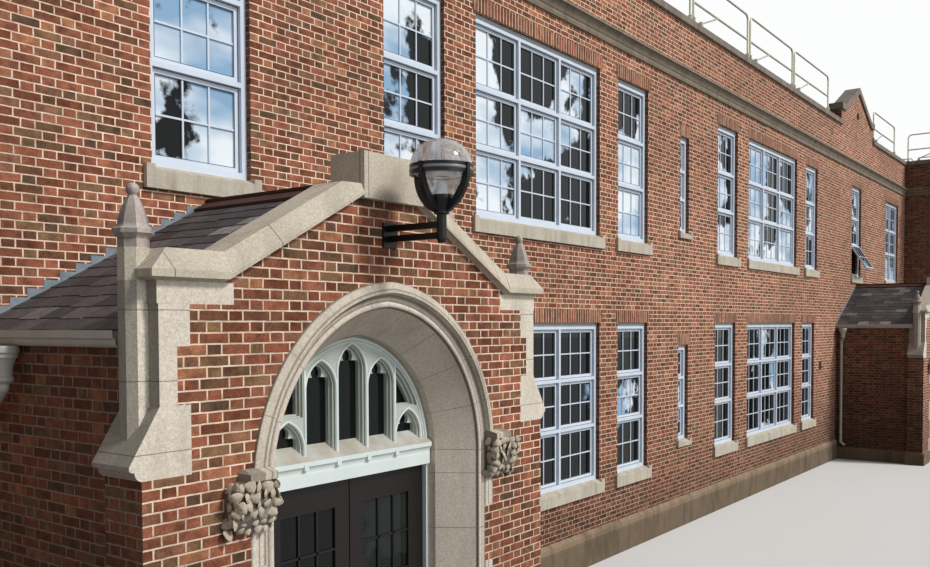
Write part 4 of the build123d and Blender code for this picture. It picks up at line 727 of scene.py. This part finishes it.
for porch, centre in PORCH_CENTRES.items():
    ribs = []
    offset = LIGHT_HALF - HEAD_RADIUS
    for light_x, apex in LIGHTS:
        shoulder = apex - math.sqrt(HEAD_RADIUS ** 2 - offset ** 2)
        for half, size, deep in RIBS:
            swing = math.acos(min(1.0, -offset / (half - offset)))
            for middle in sorted({light_x, -light_x}):
                rib = model_rib(half, LEDGE_BACK, shoulder, offset, shoulder, swing, size, deep)
                ribs.append(repeat("rib", rib, [spot(centre + middle, 0, 0, hand) for hand in (-1, 1)]))
    sides = [spot(centre, 0, 0, hand) for hand in (-1, 1)]
    for rim, size in ARCH_RIBS:
        start = math.asin((ARCH_RIB_TURN - SPRING) / rim)
        rib = model_rib(rim * math.cos(start) - ARCH_OFFSET, ARCH_RIB_LOW, ARCH_RIB_TURN, -ARCH_OFFSET, SPRING,
                        math.acos(ARCH_OFFSET / rim) - start, size)
        ribs.append(repeat("rib", rib, sides))
    upright = model_block("upright", (UPRIGHT_IN, TRACERY_FRONT - 0.0105, LEDGE_BACK),
                          (UPRIGHT_OUT, TRACERY_FRONT + 0.004, 3.355), bevel=0.004)
    ribs.append(repeat("upright", upright, sides))
    finish_piece(join("tracery_ribs_" + porch, ribs), screen_paint, smooth=50)

# Porch roofs: Welsh-type slates, split by hand, with uneven edges. They are dull and purple-brown,
# each a little different, some of them patched pale. Courses are 172 mm apart, each half a slate aside.
RIDGE_TOP = 4.750
EAVES_TOP = 3.655
EAVES_X = 2.055
ROOF_FRONT = -7.3085
ROOF_BACK = -5.404
ROOF_SLOPE = math.atan2(RIDGE_TOP - EAVES_TOP, EAVES_X)
ROOF_LONG = EAVES_X / math.cos(ROOF_SLOPE)
SLATES_WIDE = 7
SLATE_GAUGE = 0.172
SLATE_WIDE = (ROOF_BACK - ROOF_FRONT) / SLATES_WIDE
SLATE_LONG = 0.385
SLATE_THICK = 0.009
SLATE_TILT = 0.036
SLATE_LIFT = 0.0165
SLATE_TONES = ((0.0, "#302b2d"), (0.40, "#3f3a3c"), (0.70, "#4a4446"), (0.88, "#554e4f"), (0.95, "#716d6b"),
               (1.0, "#827d7a"))
slate_finish, tree = new_material("split_slate")
place = add_node(tree, "TexCoord", out="Object")
tone = add_node(tree, "Attribute", out="Fac", attribute_name="tone")
cloud = noise(tree, place, 14.0, 8.0, 0.7)
hues = colour_ramp(tree, tone, [(at, linear(colour)) for at, colour in SLATE_TONES])
body = scaled(tree, hues, remap(tree, cloud, 0.25, 0.75, 0.45, 1.5))
end_material(tree, {"Base Color": body, "Roughness": 0.72, "Specular IOR Level": 0.3}, cloud, 0.5, 0.004)
dress(stone_material("slate_bed", "#4a4140", "#3a3332", "#2b2625", 0.5), "porch_roofs")
for porch, centre in PORCH_CENTRES.items():
    for hand, side in ((-1, "left"), (1, "right")):
        slate = model_block("slate", (-0.5, 0, 0), (0.5, SLATE_LONG, SLATE_THICK), bevel=0.0015)
        places = []
        tones = []
        rise, run = math.sin(ROOF_SLOPE), math.cos(ROOF_SLOPE)
        for course in range(int(ROOF_LONG / SLATE_GAUGE) + 1):
            up = course * SLATE_GAUGE - 0.022
            reach = min(1.0, (ROOF_LONG - 0.02 - up) / SLATE_LONG)
            if reach < 0.2:
                continue
            aside = 0.5 * (course % 2)
            for k in range(SLATES_WIDE + course % 2):
                left = max(0.0, (k - aside) * SLATE_WIDE)
                wide = min((k - aside + 1) * SLATE_WIDE, SLATES_WIDE * SLATE_WIDE) - left
                tail = up + chance.uniform(-0.016, 0.008)
                local = (Matrix.Translation((0, tail, SLATE_LIFT))
                         @ Matrix.Rotation(chance.uniform(-0.012, 0.012), 4, "Z")
                         @ Matrix.Rotation(-SLATE_TILT, 4, "X") @ Matrix.Diagonal((wide - 0.007, reach, 1, 1)))
                slope = Matrix(((0, -run * hand, rise * hand, EAVES_X * hand + centre),
                                (1, 0, 0, ROOF_FRONT + left + wide / 2), (0, rise, run, EAVES_TOP), (0, 0, 0, 1)))
                places.append(slope @ local)
                tones.append(chance.random())
        finish_piece(repeat("slates_" + porch + "_" + side, slate, places, tones), slate_finish)

# Ridge tiles: angled clay ridges, dark red-brown with a rounded roll, bedded in mortar, 0.45 m long
TILE_HALF = 0.226
TILE_WING = 0.14
TILES = 4
ridge_clay = stone_material("ridge_clay", "#553530", "#3d2824", "#2a1e1b", 0.5)
for porch, centre in PORCH_CENTRES.items():
    tile = model_block("tile", (-TILE_WING, -TILE_HALF, -0.010), (TILE_WING, TILE_HALF, 0.010))
    edit_all()
    bpy.ops.mesh.bisect(plane_co=(0, 0, 0), plane_no=(1, 0, 0))
    bpy.ops.object.mode_set(mode="OBJECT")
    select_points(tile, lambda p: abs(p.x) > 0.1)
    bpy.ops.transform.translate(value=(0, 0, -TILE_WING * math.tan(ROOF_SLOPE)))
    bpy.ops.object.mode_set(mode="OBJECT")
    roll = model_block("roll", (-0.018, -TILE_HALF, 0.0), (0.018, TILE_HALF, 0.036), bevel=0.010, segments=3)
    tile = join("tile", [tile, roll])
    pitch = (ROOF_BACK - ROOF_FRONT) / TILES
    places = [spot(centre, ROOF_FRONT + pitch * (k + 0.5), RIDGE_TOP + 0.040, 1, (pitch - 0.006) / (2 * TILE_HALF))
              for k in range(TILES)]
    finish_piece(repeat("ridge_tiles_" + porch, tile, places), ridge_clay, smooth=40)

# Flashings: milled sheet lead dressed up the brick courses, bright blue-grey where rain washes it
lead, tree = new_material("milled_lead")
cloud = noise(tree, add_node(tree, "TexCoord", out="Object"), 9.0, 7.0, 0.65)
tone = blend(tree, cloud, linear("#4d575f"), linear("#9aa7b0"))
end_material(tree, {"Base Color": tone, "Metallic": 0.35, "Roughness": 0.5}, cloud, 0.4, 0.004)
dress(lead, "roof_flashings")

# Gutters and pipes: cast iron in cream gloss paint, chalky, with grime on the faces that look up
dress(painted_material("cream_gloss_paint", "#bfbdb5", "#96938a", 0.45, griming=0.4), "gutters_and_downpipes")

# Doors: hardwood leaves in near-black brown stain, satin, with narrow glazing bars five panes high and a
# raised panel moulding on the foot of each leaf
LEAF_FRONT = -7.150
LEAF_THICK = 0.045
LEAF_WIDE = 0.905
LEAF_GAP = 0.005
HINGE_STILE = 0.190
MEETING_STILE = 0.155
DOOR_HALF = 0.915
GLASS_LOW = 0.633
GLASS_TALL = 1.632
DOOR_BAR = 0.020
MOULD_WIDE = 0.026
PANEL_MIDDLE = 0.400
PANEL_HALF = 0.150
door_stain, tree = new_material("dark_stained_oak")
place = add_node(tree, "TexCoord", out="Object")
stretched = add_node(tree, "Mapping", {"Vector": place, "Scale": (30.0, 30.0, 1.6)})
wood = noise(tree, stretched, 2.0, 6.0, 0.6)
tone = blend(tree, wood, linear("#0c0908"), linear("#181211"))
end_material(tree, {"Base Color": tone, "Roughness": 0.42, "Specular IOR Level": 0.3}, wood, 0.25, 0.001)
for porch, centre in PORCH_CENTRES.items():
    for hand, side in ((-1, "left"), (1, "right")):
        body = porch + "_door_" + side
        dress(door_stain, body)
        left, right = sorted(centre + hand * (DOOR_HALF - LEAF_GAP - inset)
                             for inset in (HINGE_STILE, LEAF_WIDE - MEETING_STILE))
        middle, wide = (left + right) / 2, right - left
        inset = LEAF_FRONT + 0.005
        bar = model_block("bar", (-0.5, 0, -0.5), (0.5, LEAF_THICK - 0.010, 0.5))
        places = [spot(left + wide * k / 3, inset, GLASS_LOW + GLASS_TALL / 2, DOOR_BAR, 1, GLASS_TALL)
                  for k in (1, 2)]
        places += [spot(middle, inset, GLASS_LOW + GLASS_TALL * k / 5, wide, 1, DOOR_BAR) for k in (1, 2, 3, 4)]
        bars = repeat("door_bars_" + body, bar, places)
        mould = model_block("mould", (-0.5, -0.006, -0.5), (0.5, 0.004, 0.5), bevel=0.003)
        places = [spot(middle, LEAF_FRONT, PANEL_MIDDLE + z, wide, 1, MOULD_WIDE)
                  for z in (-PANEL_HALF, PANEL_HALF)]
        places += [spot(middle + end * (wide - MOULD_WIDE) / 2, LEAF_FRONT, PANEL_MIDDLE, MOULD_WIDE, 1,
                        2 * PANEL_HALF + MOULD_WIDE) for end in (-1, 1)]
        moulds = repeat("mould_" + body, mould, places)
        finish_piece(join("door_bars_" + body, [bars, moulds]), door_stain, body)

# Hinges and the lamp's ironwork: black gloss paint on steel and cast aluminium
dress(painted_material("black_gloss_paint", "#08080a", "#121215", 0.35, gloss=0.25), "door_hinges", "lamp_bracket")

# Lamp: a dome of smoky clear polycarbonate over a tapered clear bowl, both moulded, so very smooth.
# Inside is a white enamelled reflector cone with three louvres, and a grey band runs round the ring.
LAMP_X = -15.300
LAMP_Y = -8.102
RING_LOW = 4.769
RING_HIGH = 4.841
CUP_TOP = 4.626
DOME_RADIUS = 0.226
DOME_RISE = 0.193
DOME_STEPS = 12
SHELL_THICK = 0.004


def clear_material(name, colour, rough, weight):
    """Clear moulded plastic, tinted, partly see-through."""
    material, tree = new_material(name)
    end_material(tree, {"Base Color": linear(colour), "Roughness": rough, "IOR": 1.49,
                        "Transmission Weight": weight, "Alpha": 0.42})
    return material


def model_turning(name, profile, thick=0.0):
    """A shell turned about the lamp's axis from a profile of (radius, level) points."""
    bpy.ops.object.select_all(action="DESELECT")
    bpy.ops.mesh.primitive_plane_add(size=0.001, location=(LAMP_X + profile[0][0], LAMP_Y, profile[0][1]))
    made = bpy.context.object
    made.name = name
    bpy.ops.object.transform_apply(location=True, rotation=True, scale=True)
    edit_all()
    bpy.ops.mesh.merge(type="CENTER")
    for (radius, level), (next_radius, next_level) in zip(profile, profile[1:]):
        bpy.ops.mesh.extrude_region_move(TRANSFORM_OT_translate={
            "value": (next_radius - radius, 0, next_level - level)})
    bpy.ops.mesh.select_all(action="SELECT")
    bpy.ops.mesh.spin(steps=48, angle=2 * math.pi, center=(LAMP_X, LAMP_Y, 0), axis=(0, 0, 1))
    bpy.ops.mesh.select_all(action="SELECT")
    bpy.ops.mesh.remove_doubles(threshold=0.0002)
    leave_edit()
    if thick:
        shell = made.modifiers.new("wall", "SOLIDIFY")
        shell.thickness = thick
        shell.offset = -1
        bpy.ops.object.modifier_apply(modifier="wall")
    return made


quarter = [math.pi / 2 * k / DOME_STEPS for k in range(DOME_STEPS + 1)]
dome = model_turning("lamp_dome", [
    (DOME_RADIUS * math.cos(t), RING_HIGH + 0.0005 + DOME_RISE * math.sin(t)) for t in quarter], SHELL_THICK)
finish_piece(dome, clear_material("smoky_polycarbonate", "#dfe3e8", 0.04, 0.88), smooth=60)
bowl = model_turning("lamp_bowl", [
    (0.084, CUP_TOP + 0.001), (0.110, CUP_TOP + 0.052), (0.135, CUP_TOP + 0.103), (0.158, RING_LOW + 0.006),
    (0.198, RING_LOW + 0.012)], SHELL_THICK)
finish_piece(bowl, clear_material("clear_polycarbonate", "#e6eaee", 0.04, 0.9), smooth=40)
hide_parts("lamp_globe")
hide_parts("lamp_globe")
reflector = model_turning("lamp_reflector", [
    (0.0, CUP_TOP + 0.105), (0.034, CUP_TOP + 0.098), (0.052, CUP_TOP + 0.010), (0.056, CUP_TOP + 0.002),
    (0.078, CUP_TOP + 0.001)])
louvres = [model_turning("louvre", [
    (0.056, low), (0.142, low + 0.010), (0.142, low + 0.013), (0.056, low + 0.004), (0.056, low)])
    for low in (RING_HIGH - 0.082, RING_HIGH - 0.058, RING_HIGH - 0.034)]
enamel = painted_material("white_enamel", "#f4f6f8", "#dfe4e8", 0.3)
finish_piece(join("lamp_reflector", [reflector, *louvres]), enamel, smooth=40)
band = model_turning("lamp_ring_band", [
    (0.2325, RING_LOW + 0.026), (0.2345, RING_LOW + 0.029), (0.2345, RING_LOW + 0.043),
    (0.2325, RING_LOW + 0.046)])
finish_piece(band, painted_material("grey_ring_band", "#7d8286", "#62676b", 0.35), smooth=40)

# Guard rails: galvanised tube, dull grey, on clamps screwed to the coping
zinc, tree = new_material("galvanised_steel")
place = add_node(tree, "TexCoord", out="Object")
spangle = add_node(tree, "TexVoronoi", {"Vector": place, "Scale": 60.0}, out="Color")
spangle = add_node(tree, "SeparateColor", {0: spangle})
blotches = calculate(tree, "MULTIPLY_ADD", spangle, 0.35, noise(tree, place, 3.0, 5.0))
tone = blend(tree, blotches, linear("#979892"), linear("#bdb8a4"))
end_material(tree, {"Base Color": tone, "Metallic": 0.6, "Roughness": 0.5})
dress(zinc, "roof_guard_rails")

# Vent: a cast-iron grille set flush in the brickwork, painted dark and dull
dress(painted_material("vent_iron", "#1d1a18", "#2c2724", 0.6), "wall_vent")

# Floors and roof deck: concrete trowelled smooth, the deck covered with grey mineral felt
dress(stone_material("trowelled_concrete", "#98958f", "#7d7a74", "#65625c", 0.4), "ground_floor", "upper_floor",
      "porch_floors")
dress(stone_material("mineral_felt", "#7b7c7b", "#666766", "#525352", 0.5, joint=1.0), "roof_deck")
